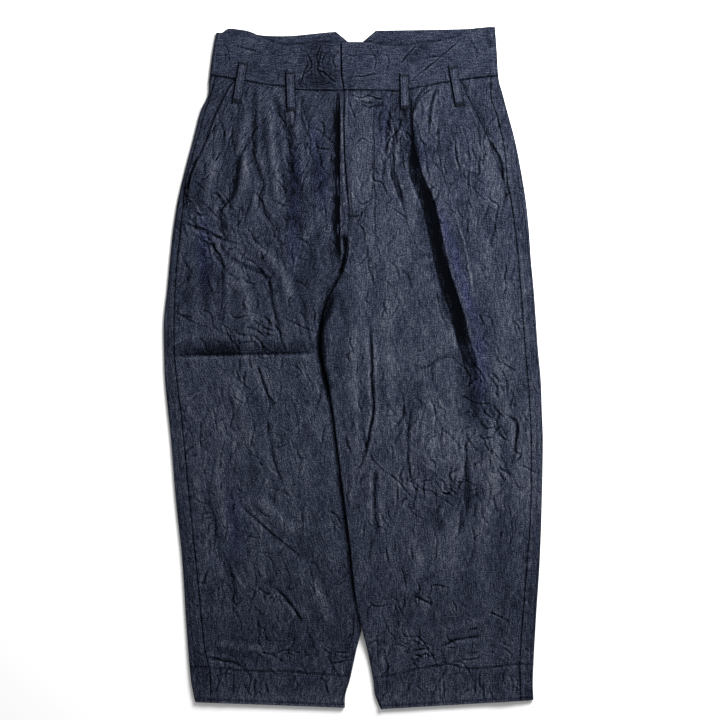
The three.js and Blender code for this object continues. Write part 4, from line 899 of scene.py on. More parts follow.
def cloth_mesh(name, plain, fine, thick, relief, turned=False, offset=0.0, shade=0, inside=-0.3):
    """A closed wall of cloth with rounded edges, from a grid of points on its outer face; the hidden inner
    face has a point for each third one. It has a UV map in metres along the threads, an attribute of wear and
    painted shade, lighter where each place stands above its surroundings and darker in hollows, with the
    fading, painted light and painted shade that it is given, and darker on the rim and inner face; and one
    that says how blue it has stayed."""
    rows, columns = plain.shape[:2]
    down, right = np.gradient(plain, axis=0), np.gradient(plain, axis=1)
    normal = np.cross(down, right)
    normal /= np.linalg.norm(normal, axis=-1, keepdims=True) + 1e-12
    flipped = normal[rows // 3, columns // 5][2] < 0
    if flipped:
        normal = -normal
    thick = np.broadcast_to(np.asarray(thick, float), (rows, columns))[..., None]
    lowered = fine - plain
    for axis in (0, 1):
        before, after = np.roll(lowered, 1, axis), np.roll(lowered, -1, axis)
        lowered = np.minimum(lowered, np.minimum(before, after))
    inner = plain - normal * thick + lowered
    # Tone: fading and painted light, less the painted shade given, plus wear and painted shade from the
    # relief
    wear_and_shade, around = fade_and_light(plain[..., 0], plain[..., 1]) - shade, relief
    for more, weight in WEAR_AND_SHADE_WEIGHTS:
        around = blurred(around, more)
        wear_and_shade = wear_and_shade + (relief - around) * weight

    outward = np.zeros_like(plain)
    outward[0] -= down[0]
    outward[-1] += down[-1]
    outward[:, 0] -= right[:, 0]
    outward[:, -1] += right[:, -1]
    length = np.linalg.norm(outward, axis=-1, keepdims=True)
    outward = np.where(length > 0, outward / np.maximum(length, 1e-9), 0)
    ring = [(0, j) for j in range(columns)] + [(i, columns - 1) for i in range(1, rows)]
    ring += [(rows - 1, j) for j in range(columns - 2, -1, -1)] + [(i, 0) for i in range(rows - 2, 0, -1)]
    ri, rj = np.array(ring).T
    edge, edge_in, out, up = fine[ri, rj], inner[ri, rj], outward[ri, rj], normal[ri, rj]
    bands = []
    for turn in (30, 60, 90):
        s, c = math.sin(math.radians(turn)), math.cos(math.radians(turn))
        bands.append(edge - out * EDGE_ROUND * (1 - s) - up * EDGE_ROUND * (1 - c))
    bands.append(edge_in + up * EDGE_ROUND * 0.6)
    top = fine.copy()
    top[ri, rj] -= out * EDGE_ROUND

    third = inner[::INNER_STEP, ::INNER_STEP]
    third_rows, third_columns = third.shape[:2]
    points = np.concatenate([top.reshape(-1, 3), *bands, third.reshape(-1, 3)])
    i, j = np.meshgrid(np.arange(rows - 1), np.arange(columns - 1), indexing="ij")
    a = (i * columns + j).ravel()
    outer_faces = np.stack([a, a + columns, a + columns + 1, a + 1], -1)
    first_in = rows * columns + len(bands) * len(ring)
    i, j = np.meshgrid(np.arange(third_rows - 1), np.arange(third_columns - 1), indexing="ij")
    a = (i * third_columns + j).ravel() + first_in
    inner_faces = np.stack([a, a + 1, a + third_columns + 1, a + third_columns], -1)
    levels = [ri * columns + rj]
    levels += [rows * columns + k * len(ring) + np.arange(len(ring)) for k in range(len(bands))]
    rim = [np.stack([u, np.roll(u, -1), np.roll(v, -1), v], -1) for u, v in zip(levels, levels[1:])]
    faces = np.concatenate([outer_faces, inner_faces, *rim]).tolist()
    last = levels[-1]
    for k in range(0, len(ring), INNER_STEP):
        m = (k + INNER_STEP) % len(ring)
        corner, after = [first_in + ri[n] // INNER_STEP * third_columns + rj[n] // INNER_STEP for n in (k, m)]
        outer_run = [last[(k + n) % len(ring)] for n in range(INNER_STEP + 1)]
        faces.append([int(point) for point in (*outer_run, after, corner)])
    mesh = bpy.data.meshes.new(name)
    mesh.from_pydata(points * MM, [], faces)

    steps = np.linalg.norm(np.diff(plain, axis=1), axis=-1)
    across = np.concatenate([np.zeros((rows, 1)), steps], 1).cumsum(1)
    middle = columns // 2
    u = across - across[:, middle : middle + 1] + plain[:, middle : middle + 1, 0]
    flat = np.stack([u, plain[..., 1]], -1)
    flat = (flat[..., ::-1] if turned else flat) * MM + offset
    third_flat = flat[::INNER_STEP, ::INNER_STEP].reshape(-1, 2)
    uv = np.concatenate([flat.reshape(-1, 2)] + [flat[ri, rj]] * len(bands) + [third_flat])
    # Painted shade: the rounded rim is darker than the face beside it, and the inner face is darker by its
    # inside value
    third_lift = np.broadcast_to(inside, (rows, columns))[::INNER_STEP, ::INNER_STEP].ravel()
    lift = np.concatenate([wear_and_shade.ravel()] + [wear_and_shade[ri, rj] - 0.5] * len(bands) + [third_lift])
    corner = np.empty(len(mesh.loops), np.int32)
    mesh.loops.foreach_get("vertex_index", corner)
    mesh.uv_layers.new(name="cloth").data.foreach_set("uv", uv[corner].ravel())
    mesh.attributes.new("wear_and_shade", "FLOAT", "POINT").data.foreach_set("value", lift)
    kept = unworn(plain[..., 0], plain[..., 1])
    kept = np.concatenate([kept.ravel()] + [kept[ri, rj]] * len(bands) + [np.zeros(third_lift.shape)])
    mesh.attributes.new("unworn", "FLOAT", "POINT").data.foreach_set("value", kept)
    mesh.polygons.foreach_set("use_smooth", [True] * len(mesh.polygons))
    if flipped:
        mesh.flip_normals()
    mesh.validate()
    piece = bpy.data.objects.new(name, mesh)
    bpy.context.scene.collection.objects.link(piece)
    return piece


def add_node(tree, kind, inputs=None, **settings):
    """Adds a node with its settings, and gives each input a value or the socket that feeds it."""
    node = tree.nodes.new(kind)
    for name, value in settings.items():
        setattr(node, name, value)
    for name, value in (inputs or {}).items():
        if isinstance(value, bpy.types.NodeSocket):
            tree.links.new(value, node.inputs[name])
        else:
            node.inputs[name].default_value = value
    return node


# Uneven streaks of the yarns and of wear: millimetres across and along, detail, and place in the noise. Real
# yarns are about 0.5 mm, and these are drawn as coarse as they need to be to show
STREAKS = {
    "warp": (1.7, 13, 1, 3), "weft": (9, 1.7, 1, 17), "speck": (1.6, 1.6, 1, 31), "cloud": (26, 60, 2, 47),
    "crinkle": (5, 14, 3, 71),
}
SPECKLE = {"warp": 0.3, "weft": 0.16, "speck": 0.54}
SPECKLE_FROM, SPECKLE_TO, SPECKLE_TONE = 0.36, 0.64, 0.8
CLOUD_FROM, CLOUD_TO = 0.3, 0.7
TONE_REACH = 1.4
# What the colour is multiplied by where the blue has not worn off
KEPT_BLUE = (0.84, 0.83, 1.2, 1)
# The ribs of the twill, in millimetres, and their turn in degrees. A wave repeats every 0.314 of its scale
TWILL = 1.6
TWILL_TURN = 27
WAVE_REPEAT = 0.314
WEAVE_HEIGHT, SPECKLE_HEIGHT = 0.12, 0.9


def denim(name, tones, worn):
    """Washed indigo denim, woven as a twill from blue warp and grey weft: matt, speckled by uneven yarns,
    greyer where it stands up and has been rubbed, and darker, deeper blue in the hollows and slots, as
    painted shade."""
    material = bpy.data.materials.new(name)
    material.use_nodes = True
    tree = material.node_tree
    shader = tree.nodes["Principled BSDF"]
    cloth = add_node(tree, "ShaderNodeUVMap", uv_map="cloth").outputs["UV"]
    streak = {}
    for kind, (across, along, detail, place) in STREAKS.items():
        scale = (1 / (across * MM), 1 / (along * MM), 1)
        laid = add_node(tree, "ShaderNodeMapping", {
            "Vector": cloth, "Scale": scale, "Location": (place, place, 0),
        })
        noise = add_node(tree, "ShaderNodeTexNoise", {
            "Vector": laid.outputs["Vector"], "Scale": 1, "Detail": detail, "Roughness": 0.6,
        }, noise_dimensions="2D")
        streak[kind] = noise.outputs["Fac"]
    speckle = 0
    for kind, share in SPECKLE.items():
        speckle = add_node(tree, "ShaderNodeMath", {0: streak[kind], 1: share, 2: speckle},
                           operation="MULTIPLY_ADD").outputs[0]

    # Colour: from the wear and painted shade of each place, the clouds of wear and the speckle
    wear_and_shade = add_node(tree, "ShaderNodeAttribute", attribute_name="wear_and_shade").outputs["Fac"]
    clouds = add_node(tree, "ShaderNodeMapRange", {
        "Value": streak["cloud"], "From Min": CLOUD_FROM, "From Max": CLOUD_TO, "To Min": -worn,
        "To Max": worn,
    }).outputs["Result"]
    specks = add_node(tree, "ShaderNodeMapRange", {
        "Value": speckle, "From Min": SPECKLE_FROM, "From Max": SPECKLE_TO, "To Min": -SPECKLE_TONE,
        "To Max": SPECKLE_TONE,
    }).outputs["Result"]
    clouded = add_node(tree, "ShaderNodeMath", {0: wear_and_shade, 1: clouds}, operation="ADD").outputs[0]
    level = add_node(tree, "ShaderNodeMath", {0: clouded, 1: specks}, operation="ADD").outputs[0]
    place = add_node(tree, "ShaderNodeMapRange", {
        "Value": level, "From Min": -TONE_REACH, "From Max": TONE_REACH,
    })
    ramp = add_node(tree, "ShaderNodeValToRGB", {"Fac": place.outputs["Result"]})
    for element, (position, colour) in zip(ramp.color_ramp.elements, (tones[0], tones[-1])):
        element.position, element.color = position, (*linear(colour), 1)
    for position, colour in tones[1:-1]:
        ramp.color_ramp.elements.new(position).color = (*linear(colour), 1)
    kept = add_node(tree, "ShaderNodeAttribute", attribute_name="unworn").outputs["Fac"]
    blue = add_node(tree, "ShaderNodeMix", {0: kept, 6: ramp.outputs["Color"], 7: KEPT_BLUE},
                    data_type="RGBA", blend_type="MULTIPLY")
    tree.links.new(blue.outputs[2], shader.inputs["Base Color"])

    # Relief too fine for the mesh: crinkles, the ribs of the twill and the uneven yarns
    swing = add_node(tree, "ShaderNodeMath", {0: streak["crinkle"], 1: 0.5}, operation="SUBTRACT").outputs[0]
    folded = add_node(tree, "ShaderNodeMath", {0: swing}, operation="ABSOLUTE").outputs[0]
    turned = add_node(tree, "ShaderNodeMapping", {
        "Vector": cloth, "Rotation": (0, 0, math.radians(TWILL_TURN)), "Scale": (1 / MM, 1 / MM, 1),
    })
    twill = add_node(tree, "ShaderNodeTexWave", {
        "Vector": turned.outputs["Vector"], "Scale": WAVE_REPEAT / TWILL, "Distortion": 0.6,
    }, bands_direction="X")
    yarns = add_node(tree, "ShaderNodeMath", {0: speckle, 1: SPECKLE_HEIGHT}, operation="MULTIPLY").outputs[0]
    weave = add_node(tree, "ShaderNodeMath", {0: twill.outputs["Fac"], 1: WEAVE_HEIGHT, 2: yarns},
                     operation="MULTIPLY_ADD").outputs[0]
    crinkled = add_node(tree, "ShaderNodeBump", {"Height": folded, "Strength": 0.8, "Distance": 4 * MM})
    woven = add_node(tree, "ShaderNodeBump", {
        "Height": weave, "Strength": 0.5, "Distance": 0.5 * MM, "Normal": crinkled.outputs["Normal"],
    })
    tree.links.new(woven.outputs["Normal"], shader.inputs["Normal"])
    shader.inputs["Roughness"].default_value = 0.95
    shader.inputs["Specular IOR Level"].default_value = 0.02
    return material


legs_denim = denim("washed_denim", [
    (0.06, "#020306"), (0.28, "#10131B"), (0.5, "#202533"), (0.7, "#343845"), (0.94, "#53565E"),
], 0.2)


def whole_steps(length, step):
    """How many points divide a length into about such steps, for an inner face with each third point."""
    return INNER_STEP * round(length / step / INNER_STEP) + 1


levels = np.linspace(WAIST_LEVEL, HEM_LEVEL, whole_steps(WAIST_LEVEL - HEM_LEVEL, LEVEL_STEP))[:, None]


def leg_wall(level):
    """The hem is turned up, so the wall is doubled there."""
    return np.where(level < HEM_LEVEL + HEM_DEPTH, 2 * CLOTH, CLOTH)


def front_start(half, level):
    """Where the columns of a front begin: under the fly or on the inner fold."""
    line, legs = parting(level), leg_share(level)
    if half == "right":
        return [line + 4 * s for s in (0, 0.1, 0.25, 0.45, 0.7, 1)], []
    lap = mix(-SEAM_GAP, FLY_UNDERLAP, ease((level - FLY_FOOT_Y + 4) / 34))
    fold = [mix(line + lap, line - 0.6, s) for s in (0, 0.2, 0.4, 0.6, 0.8, 1)]
    fold_end = inner_edge("left", level) - inner_radius("left", level)
    hidden = [mix(line - 0.8, mix(fold_end, seen_edge(level) - 1, s), legs) for s in (0.25, 0.5, 0.75)]
    return fold, hidden


def across_front(half, level, columns):
    """Columns of a front at one level, from the inner end to the pocket's mouth or the side seam."""
    fold, hidden = front_start(half, level)
    legs = leg_share(level)
    start = parting(level) + 4.6 if half == "right" else mix(parting(level) - 1, seen_edge(level) - 1, legs)
    edge = front_edge(half, level)
    edge = front_edge(half, bent_level(half, edge, level))
    flat = [mix(start, edge, s) for s in np.linspace(0, 1, columns)]
    return fold, hidden + flat


FRONT_COLUMNS = {"left": 133, "right": 139}
for number, half in enumerate(SIGN):
    fold, flat = across_front(half, levels, FRONT_COLUMNS[half])
    drop = (lambda x, y: fly_drop(1, x, y)) if half == "left" else None
    grids = []
    for k, x in enumerate(fold):
        legs = leg_share(levels)
        y = bent_level(half, mix(x, inner_edge(half, levels), legs), levels)
        down = 0 if drop is None else drop(x, y) * (1 - legs)
        points = fold_points(half, x, y, k / (len(fold) - 1), True)
        points[..., 2] -= down
        grids.append(points)
    flat = np.concatenate(flat, 1)
    plain, fine, relief = flat_points(half, flat, bent_level(half, flat, levels), drop, stitched=True)
    plain = np.concatenate([*grids, plain], 1)
    fine = np.concatenate([*grids, fine], 1)
    relief = np.concatenate([np.zeros((len(levels), len(grids))), relief], 1)
    x, y = plain[..., 0], plain[..., 1]
    shade = slot_shade(x, y) + (LAP_SHADE * lap_share(x - 2, y) if half == "left" else 0)
    front = cloth_mesh(f"front_{half}_cloth", plain, fine, leg_wall(levels), relief, shade=shade,
                       offset=PATTERN_SHIFT * number)
    front.data.materials.append(legs_denim)
    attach(front, "root")
    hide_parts(f"front_{half}")

# Back legs
# The same denim. Each back leg wraps round the outer edge to a side seam on the front side, and lies on the
# surface with its whole width; the right one lies partly on the left leg.
centre_back = reader([(488, 3), (300, 3), (200, -5), (142, -15)])
CENTRE_BACK_SEAM_Y = 399
NOTCH_X = 3
BACK_STRIPS = 19
ROUND_THE_EDGE = range(0, 181, 15)
SEAT_FOLD = 4


def waist_corner(half):
    """Where the outer fold starts at the waist seam."""
    y = waist_seam(outline[half](WAIST_LEVEL))
    return outline[half](y) - SIGN[half] * edge_height(y) / 2, y


def under_seam(half, x):
    """The waist seam on the underside, straight from the outer fold to the centre back."""
    corner_x, corner_y = waist_corner(half)
    return mix(CENTRE_BACK_SEAM_Y, corner_y, (x - NOTCH_X) / (corner_x - NOTCH_X))


for number, half in enumerate(SIGN):
    out = SIGN[half]
    outer_y = bent_level(half, outline[half](levels), levels)
    tangent = outline[half](outer_y) - out * edge_height(outer_y) / 2
    seam = side_seam[half](bent_level(half, side_seam[half](levels), levels))
    strip = np.concatenate([mix(seam, tangent, s) for s in np.linspace(0, 0.95, BACK_STRIPS)], 1)
    strip_plain, strip_fine, relief = flat_points(half, strip, bent_level(half, strip, levels))
    fold = [outer_fold_points(half, outer_y, degrees) for degrees in ROUND_THE_EDGE]

    legs = leg_share(levels)
    centre = centre_back(levels) + out * SEAM_GAP / 2
    fold_end = inner_edge(half, levels) + out * inner_radius(half, levels)
    flat_end = mix(centre + out * SEAT_FOLD, fold_end, legs)
    lap_end = np.maximum(inner_edge("left", levels), flat_end + 3)
    if half == "left":
        under = [mix(tangent, flat_end, s) for s in np.linspace(0.08, 0.98, 12)]
    else:
        under = [mix(tangent, lap_end + LAP_REACH, s) for s in np.linspace(0.08, 1, 9)]
        under += [lap_end + LAP_REACH * s for s in (0.8, 0.6, 0.4, 0.2, 0.03)]
    under = np.concatenate(under, 1)
    under_y = bent_level(half, under, levels, lambda x: under_seam(half, x))
    flat = np.stack([under, under_y, support(half, under, under_y)], -1)
    ends = []
    for share in (1, 0.75, 0.5, 0.25, 0):
        x = centre + out * SEAT_FOLD * share
        y = bent_level(half, mix(x, inner_edge(half, levels), legs), levels, lambda x: under_seam(half, x))
        ends.append(fold_points(half, x, y, share, False))
    plain = np.concatenate([strip_plain, *fold, flat, *ends], 1)
    fine = np.concatenate([strip_fine, *fold, flat, *ends], 1)
    hidden = plain.shape[1] - relief.shape[1]
    relief = np.concatenate([relief, np.zeros((len(levels), hidden))], 1)
    back = cloth_mesh(f"back_{half}_cloth", plain, fine, leg_wall(levels), relief,
                      shade=slot_shade(plain[..., 0], plain[..., 1]), offset=1.1 + PATTERN_SHIFT * number)
    back.data.materials.append(legs_denim)
    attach(back, "root")
    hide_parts(f"back_{half}")

# Pocket facings
# A piece of the same denim behind each slanted pocket mouth. It starts under the front's edge, which lies on
# it, and rises to the side seam, where it is sewn in.
FACING_FOOT = 8


def facing_drop(half, x, y):
    """How far a facing lies below the front, which covers its inner edge."""
    outside = SIGN[half] * (x - front_edge(half, y))
    return (CLOTH + LAY_GAP) * ease((8.5 - outside) / 6)


for number, half in enumerate(SIGN):
    out = SIGN[half]
    foot = POCKET_FOOT[half] + FACING_FOOT
    facing_levels = np.linspace(WAIST_LEVEL, foot, whole_steps(WAIST_LEVEL - foot, LEVEL_STEP))[:, None]
    columns = []
    for hidden in (POCKET_UNDERLAP, 8, 4, 1.5):
        x = front_edge(half, facing_levels) - out * hidden
        for _ in range(3):
            y = bent_level(half, x, facing_levels)
            x = front_edge(half, y) - out * hidden
        columns.append(x)
    for share in np.linspace(0, 1, 24):
        x = front_edge(half, facing_levels)
        for _ in range(4):
            y = bent_level(half, x, facing_levels)
            x = mix(front_edge(half, y), side_seam[half](y) - out * SEAM_GAP, share)
        columns.append(x)
    x = np.concatenate(columns, 1)
    y = bent_level(half, x, facing_levels)
    y[0] -= SEAM_GAP
    plain, fine, relief = flat_points(half, x, y, lambda x, y: facing_drop(half, x, y))
    facing = cloth_mesh(f"pocket_facing_{half}_cloth", plain, fine, CLOTH, relief, shade=slot_shade(x, y),
                        offset=2.3 + PATTERN_SHIFT * number)
    facing.data.materials.append(legs_denim)
    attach(facing, "root")
    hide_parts(f"pocket_facing_{half}")

# Waistband
# A high band of doubled denim in two halves, from the centre front round the side to the centre back, where a
# V notch parts them. The right one laps over the left one at the front.
# The band's upper edge in front and behind: x and level
front_top = reader([
    (-196.5, 479), (-189.5, 484.5), (-175, 484), (-155, 480.5), (-131, 470.5), (-115, 464), (-84, 462),
    (-48, 464), (15, 465.5), (44, 461), (66, 460.5), (89, 462.5), (135, 469), (154, 475), (167, 483.5),
    (197, 487.5),
])
unnotched_top = reader([
    (-196.5, 478.5), (-189.5, 483), (-155, 479.5), (-140, 476), (-96, 475), (-62, 478), (-28, 481),
    (31.5, 482.5), (163, 485), (197, 487.5),
])
NOTCH_WIDE = 59
NOTCH_DEEP = 24
BAND_ROWS = 52
REAR_COLUMNS = 52
NOTCH_COLUMNS = 12
# The inner face is dark near the upper edge, where no light reaches it: shade below, more at the edge, reach
BAND_INSIDE = (0.05, 0.9, 2.6)
band_denim = denim("washed_denim_doubled", [
    (0.06, "#030408"), (0.28, "#10131B"), (0.5, "#1F2432"), (0.7, "#323643"), (0.94, "#50535D"),
], 0.16)


def back_top(x):
    """The band's upper edge behind, with the notch."""
    return unnotched_top(x) - NOTCH_DEEP * np.maximum(0, 1 - np.abs(x - NOTCH_X) / (NOTCH_WIDE / 2))


for number, half in enumerate(SIGN):
    out = SIGN[half]
    corner_x, corner_y = waist_corner(half)
    line = float(parting(WAIST_LEVEL))
    top_level = np.array([[float(WAIST_LEVEL)]])
    fold, flat = across_front(half, top_level, FRONT_COLUMNS[half])
    leg = [float(x[0, 0]) for x in fold + flat]
    if half == "left":
        leg = [line + BAND_UNDERLAP * s for s in (1, 0.8, 0.6, 0.45)] + leg[1:]
    edge = float(front_edge(half, corner_y - 3))
    seam_x = float(side_seam[half](corner_y - 3)) - out * SEAM_GAP
    facing = [mix(edge, seam_x, s) for s in np.linspace(0.05, 1, 20)]
    seam_corner = float(side_seam[half](corner_y))
    front_x = np.array([*leg, *facing, *[mix(seam_corner, corner_x, s) for s in (0.2, 0.4, 0.6, 0.8)]])
    notch_corner = NOTCH_X + out * NOTCH_WIDE / 2
    back_end = NOTCH_X + out * SEAM_GAP / 2
    rear_x = np.array([mix(corner_x, notch_corner, s) for s in np.linspace(0.02, 1, REAR_COLUMNS)]
                      + [mix(notch_corner, back_end, s) for s in np.linspace(0.1, 1, NOTCH_COLUMNS)])

    def lean(x, y):
        """The band's columns lean with the outline."""
        tangent = outline[half](y) - out * edge_height(y) / 2
        return x + (tangent - corner_x) * np.maximum(0, x / corner_x)

    share = np.linspace(0, 1, BAND_ROWS)[:, None]
    hidden = np.where((front_x > line) & (half == "left"), 1.5, 0)
    y = mix(waist_seam(front_x) + SEAM_GAP / 2, front_top(front_x) - hidden, share)
    shift = parting(y) - line
    x = lean(front_x, y) + shift * ease(1 - np.abs(front_x - line) / BAND_UNDERLAP)
    drop = (lambda x, y: fly_drop(2, x, y)) if half == "left" else None
    front_plain, front_fine, relief = flat_points(half, x, y, drop)
    side_y = mix(corner_y + SEAM_GAP / 2, front_top(outline[half](480)), share)
    side = [outer_fold_points(half, side_y, degrees) for degrees in ROUND_THE_EDGE]
    rear_y = mix(under_seam(half, rear_x) + SEAM_GAP / 2, back_top(rear_x), share)
    rear_x = lean(rear_x, rear_y)
    rear = np.stack([rear_x, rear_y, support(half, rear_x, rear_y)], -1)
    plain = np.concatenate([front_plain, *side, rear], 1)
    fine = np.concatenate([front_fine, *side, rear], 1)
    relief = np.concatenate([relief, np.zeros((BAND_ROWS, plain.shape[1] - relief.shape[1]))], 1)
    below, more, reach = BAND_INSIDE
    inside = -below - more * near_line(plain[..., 1] - front_top(plain[..., 0]), reach)
    band = cloth_mesh(f"waistband_{half}_cloth", plain, fine, 2 * CLOTH, relief, turned=True, inside=inside,
                      shade=slot_shade(plain[..., 0], plain[..., 1]), offset=3.1 + PATTERN_SHIFT * number)
    band.data.materials.append(band_denim)
    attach(band, "root")
    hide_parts(f"waistband_{half}")

# Belt loops
# Four folded strips of the same denim across the front of the band, each tacked down at both ends and arched
# a little between them.
LOOP_THICK = 1.8
LOOP_ARCH = 1.4
# The tacks press a loop's ends down to this share of its thickness, over this share of its length
TACK_PRESS, TACK_REACH = 0.72, 0.07
LOOP_STITCH_AT = 0.3
LOOP_STITCH_DEEP = 0.28
# Shade of a loop's edges, of its lines of stitches and of its tacks, which lie at these shares of its length
LOOP_TONE = -0.3
EDGE_SHADE, STITCH_SHADE, TACK_SHADE = 0.5, 0.55, 1.8
TACKS_AT = (0.03, 0.93, 0.985)
TACK_SOFT = 0.014


def loop_place(loop, share, side):
    """A place on a loop: share from its top to its foot, side from -0.5 to 0.5 of its width."""
    top, foot = np.array(loop[:2], float), np.array(loop[2:], float)
    run = foot - top
    across = np.array([-run[1], run[0]]) / np.hypot(*run)
    return top + run * share + across * side * LOOP_WIDE


def loose_share(share):
    """1 along a loop, and less near its tacked ends."""
    return ease(np.minimum(share, 1 - share) / TACK_REACH)


for number, loop in enumerate(LOOPS):
    half = "left" if loop[0] < 0 else "right"
    shares = np.linspace(0, 1, 49)
    sides = np.linspace(-0.5, 0.5, 10)
    spots = np.array([[loop_place(loop, share, side) for side in sides] for share in shares])
    x, y = spots[..., 0], spots[..., 1]
    under = front_height(half, x, y, main_folds(x, y)) + LAY_GAP + LOOP_ARCH * np.sin(np.pi * shares)[:, None]
    stitched = (np.abs(np.abs(sides) - LOOP_STITCH_AT) < 0.08)[None, :]
    loose = loose_share(shares)[:, None]
    top = under + LOOP_THICK * mix(TACK_PRESS, 1, loose) - LOOP_STITCH_DEEP * stitched * loose
    points = np.stack([x, y, top], -1)
    shade = LOOP_TONE + EDGE_SHADE * ease((np.abs(sides) - 0.4) / 0.1)[None, :]
    shade = shade + STITCH_SHADE * stitched * loose
    for tack in TACKS_AT:
        shade = shade + TACK_SHADE * near_line(shares - tack, TACK_SOFT)[:, None]
    piece = cloth_mesh(f"belt_loop_{number + 1}_cloth", points, points, LOOP_THICK * 0.9, np.zeros(x.shape),
                       shade=shade, offset=4.4 + 0.11 * number)
    piece.data.materials.append(band_denim)
    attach(piece, "root")
    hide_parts(f"belt_loop_{number + 1}")

# Stitching
# Runs of indigo thread along the seams, hems, pockets, fly and loops, tonal with the cloth, and dense tacks
# across the ends of the loops, the fly and the pocket mouths.
# Pitch, length along, width and height of a stitch
RUN_STITCH = (3.2, 2.5, 0.5, 0.45)
TACK_STITCH = (0.75, 0.7, 2.3, 0.8)
TACK_WIDE = 12
PATH_STEP = 2
THREAD_LIFT = 0.08
SUNK_IN_LOOP = 0.22
# Uneven places in the thread, to the metre
THREAD_GRAIN = 900
# Lines of stitches: how far from the seam or edge that each follows
SIDE_ROWS = (2.2, 8.6)
MOUTH_ROWS = (1.8, 7.6)
CROTCH_ROWS = (2.2, 7)
ABOVE_SEAM, BELOW_TOP, BESIDE_FLY = 2.4, 3, 2.4
LOOP_ROWS_END = 0.05
TACK_ROWS = (0.012, 0.055, 0.945, 0.988)
# Tacks at the feet of the fly and of the pockets: side, x, level and turn in degrees
TACKS = [("right", -0.5, 217.4, 0), ("left", -235.8, 243.4, 28), ("right", 221, 248.6, -28)]


def thread(name, colour, paler):
    """Spun cotton thread: matt, and a little uneven in colour along its length."""
    material = bpy.data.materials.new(name)
    material.use_nodes = True
    tree = material.node_tree
    shader = tree.nodes["Principled BSDF"]
    place = add_node(tree, "ShaderNodeTexCoord").outputs["Object"]
    noise = add_node(tree, "ShaderNodeTexNoise", {"Vector": place, "Scale": THREAD_GRAIN, "Detail": 1})
    ramp = add_node(tree, "ShaderNodeValToRGB", {"Fac": noise.outputs["Fac"]})
    for element, (position, tone) in zip(ramp.color_ramp.elements, ((0.35, colour), (0.65, paler))):
        element.position, element.color = position, (*linear(tone), 1)
    tree.links.new(ramp.outputs["Color"], shader.inputs["Base Color"])
    shader.inputs["Roughness"].default_value = 0.8
    shader.inputs["Specular IOR Level"].default_value = 0.15
    return material


def stitch_tree(material):
    """Puts a stitch at every pitch along the edges of a mesh, turned along them."""
    tree = bpy.data.node_groups.new(f"{material.name}_stitches", "GeometryNodeTree")
    tree.interface.new_socket("Geometry", in_out="INPUT", socket_type="NodeSocketGeometry")
    for name in ("Pitch", "Length", "Width", "Height"):
        tree.interface.new_socket(name, in_out="INPUT", socket_type="NodeSocketFloat")
    tree.interface.new_socket("Geometry", in_out="OUTPUT", socket_type="NodeSocketGeometry")
    given = add_node(tree, "NodeGroupInput").outputs
    path = add_node(tree, "GeometryNodeMeshToCurve", {"Mesh": given["Geometry"]})
    even = add_node(tree, "GeometryNodeResampleCurve", {"Curve": path.outputs[0], "Length": given["Pitch"]},
                    mode="LENGTH")
    tangent = add_node(tree, "GeometryNodeInputTangent").outputs[0]
    turn = add_node(tree, "FunctionNodeAlignRotationToVector", {"Vector": tangent}, axis="X")
    body = add_node(tree, "GeometryNodeMeshIcoSphere", {"Radius": 0.5, "Subdivisions": 1})
    size = add_node(tree, "ShaderNodeCombineXYZ", {
        "X": given["Length"], "Y": given["Width"], "Z": given["Height"],
    })
    put = add_node(tree, "GeometryNodeInstanceOnPoints", {
        "Points": even.outputs[0], "Instance": body.outputs[0], "Rotation": turn.outputs[0],
        "Scale": size.outputs[0],
    })
    real = add_node(tree, "GeometryNodeRealizeInstances", {"Geometry": put.outputs[0]})
    smooth = add_node(tree, "GeometryNodeSetShadeSmooth", {"Geometry": real.outputs[0]})
    done = add_node(tree, "GeometryNodeSetMaterial", {"Geometry": smooth.outputs[0], "Material": material})
    add_node(tree, "NodeGroupOutput", {"Geometry": done.outputs[0]})
    return tree


def sew(name, paths, stitch, material):
    """One mesh with a stitch at every pitch along each path of points in millimetres."""
    points, edges = [], []
    for path in paths:
        first = len(points)
        points += [tuple(mm * MM for mm in point) for point in path]
        edges += [(i, i + 1) for i in range(first, len(points) - 1)]
    lines = bpy.data.meshes.new(f"{name}_paths")
    lines.from_pydata(points, edges, [])
    guide = bpy.data.objects.new(f"{name}_paths", lines)
    bpy.context.scene.collection.objects.link(guide)
    modifier = guide.modifiers.new("stitches", "NODES")
    tree = stitch_tree(material)
    modifier.node_group = tree
    sizes = dict(zip(("Pitch", "Length", "Width", "Height"), stitch))
    for socket in tree.interface.items_tree:
        if socket.name in sizes:
            modifier[socket.identifier] = sizes[socket.name] * MM
    graph = bpy.context.evaluated_depsgraph_get()
    mesh = bpy.data.meshes.new_from_object(guide.evaluated_get(graph))
    guide.modifiers.clear()
    bpy.data.objects.remove(guide)
    mesh.name = name
    piece = bpy.data.objects.new(name, mesh)
    bpy.context.scene.collection.objects.link(piece)
    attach(piece, "root")
    return piece


def on_cloth(half, run, layers=0):
    """A run of x and level as points on the cloth, close enough together to follow its creases."""
    run = rounded(run, 6)
    length = np.concatenate([[0], np.hypot(*np.diff(run, axis=0).T).cumsum()])
    at = np.linspace(0, length[-1], max(2, round(length[-1] / PATH_STEP)))
    x, y = np.interp(at, length, run[:, 0]), np.interp(at, length, run[:, 1])
    z = front_height(half, x, y, main_folds(x, y) + small_relief(half, x, y, True))
    z -= fly_drop(layers, x, y) if layers else 0
    return np.stack([x, y, z + THREAD_LIFT], -1)


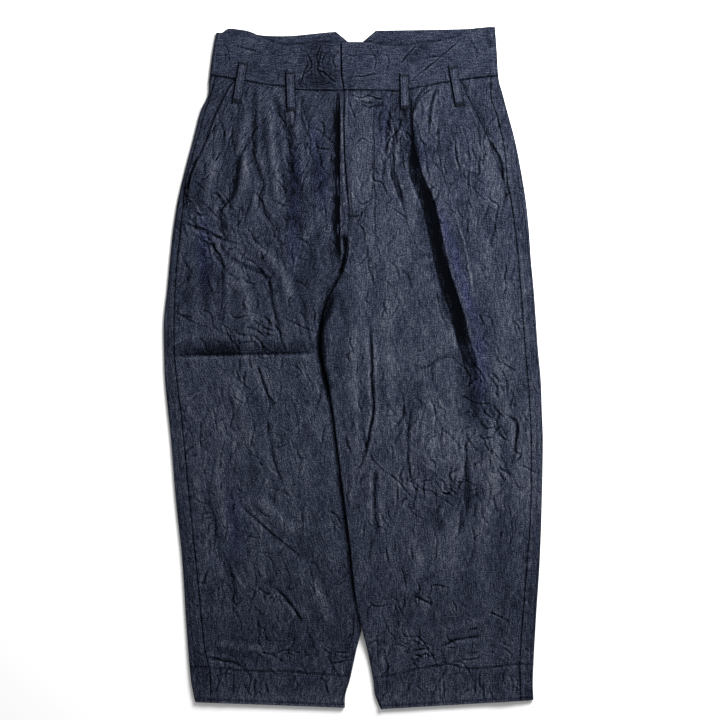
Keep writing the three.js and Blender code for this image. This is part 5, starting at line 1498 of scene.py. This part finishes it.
runs = []
for half in SIGN:
    out = SIGN[half]
    for off in SIDE_ROWS:
        side = [(float(side_seam[half](y)) + out * off, y) for y in np.arange(412, -478, -8)]
        runs.append(on_cloth(half, side))
    for off in MOUTH_ROWS:
        runs.append(on_cloth(half, [(x - out * off, y) for y, x in MOUTH[half]]))
    inner_x, inner_y, outer_x, outer_y = HEM_EDGE[half]
    edge = [(mix(inner_x, outer_x, s), mix(inner_y, outer_y, s) + HEM_EDGE_STITCH)
            for s in (0.015, 0.3, 0.6, 0.9)]
    runs += [on_cloth(half, HEM_STITCHES[half]), on_cloth(half, edge)]
    start, layers = (-20, 2) if half == "left" else (-12, 0)
    along_seam, along_top = np.linspace(start, out * 196, 30), np.linspace(start, out * 188, 40)
    runs.append(on_cloth(half, [(x, float(waist_seam(x)) + ABOVE_SEAM) for x in along_seam], layers))
    runs.append(on_cloth(half, [(x, float(front_top(x)) - BELOW_TOP) for x in along_top], layers))
runs.append(on_cloth("right", FLY_STITCHES))
runs.append(on_cloth("right", [(float(parting(y)) + BESIDE_FLY, y) for y in np.arange(394, 222, -8)]))
for off in CROTCH_ROWS:
    runs.append(on_cloth("right", [(float(parting(y)) + off, y) for y in np.arange(214, 150, -8)]))
tacks = []
for loop in LOOPS:
    half = "left" if loop[0] < 0 else "right"

    def on_loop(share, side):
        x, y = loop_place(loop, share, side)
        at = np.array([x]), np.array([y])
        under = front_height(half, *at, main_folds(*at))[0] + LAY_GAP + LOOP_ARCH * math.sin(math.pi * share)
        press = mix(TACK_PRESS, 1, float(loose_share(share)))
        return x, y, under + LOOP_THICK * press - (SUNK_IN_LOOP if 0 < abs(side) < 0.4 else 0)

    for side in (-LOOP_STITCH_AT, LOOP_STITCH_AT):
        runs.append([on_loop(share, side) for share in np.linspace(LOOP_ROWS_END, 1 - LOOP_ROWS_END, 28)])
    for share in TACK_ROWS:
        tacks.append([on_loop(share, side) for side in np.linspace(-0.5, 0.5, 7)])
for half, x, y, turn in TACKS:
    c, s = math.cos(math.radians(turn)), math.sin(math.radians(turn))
    tacks.append(on_cloth(half, [(x + u * c, y + u * s) for u in (-TACK_WIDE / 2, TACK_WIDE / 2)]))

sew("stitching", runs, RUN_STITCH, thread("indigo_cotton_thread", "#1C202C", "#3A3F4C"))
sew("tacks", tacks, TACK_STITCH, thread("dark_cotton_thread", "#07080D", "#1A1D27"))
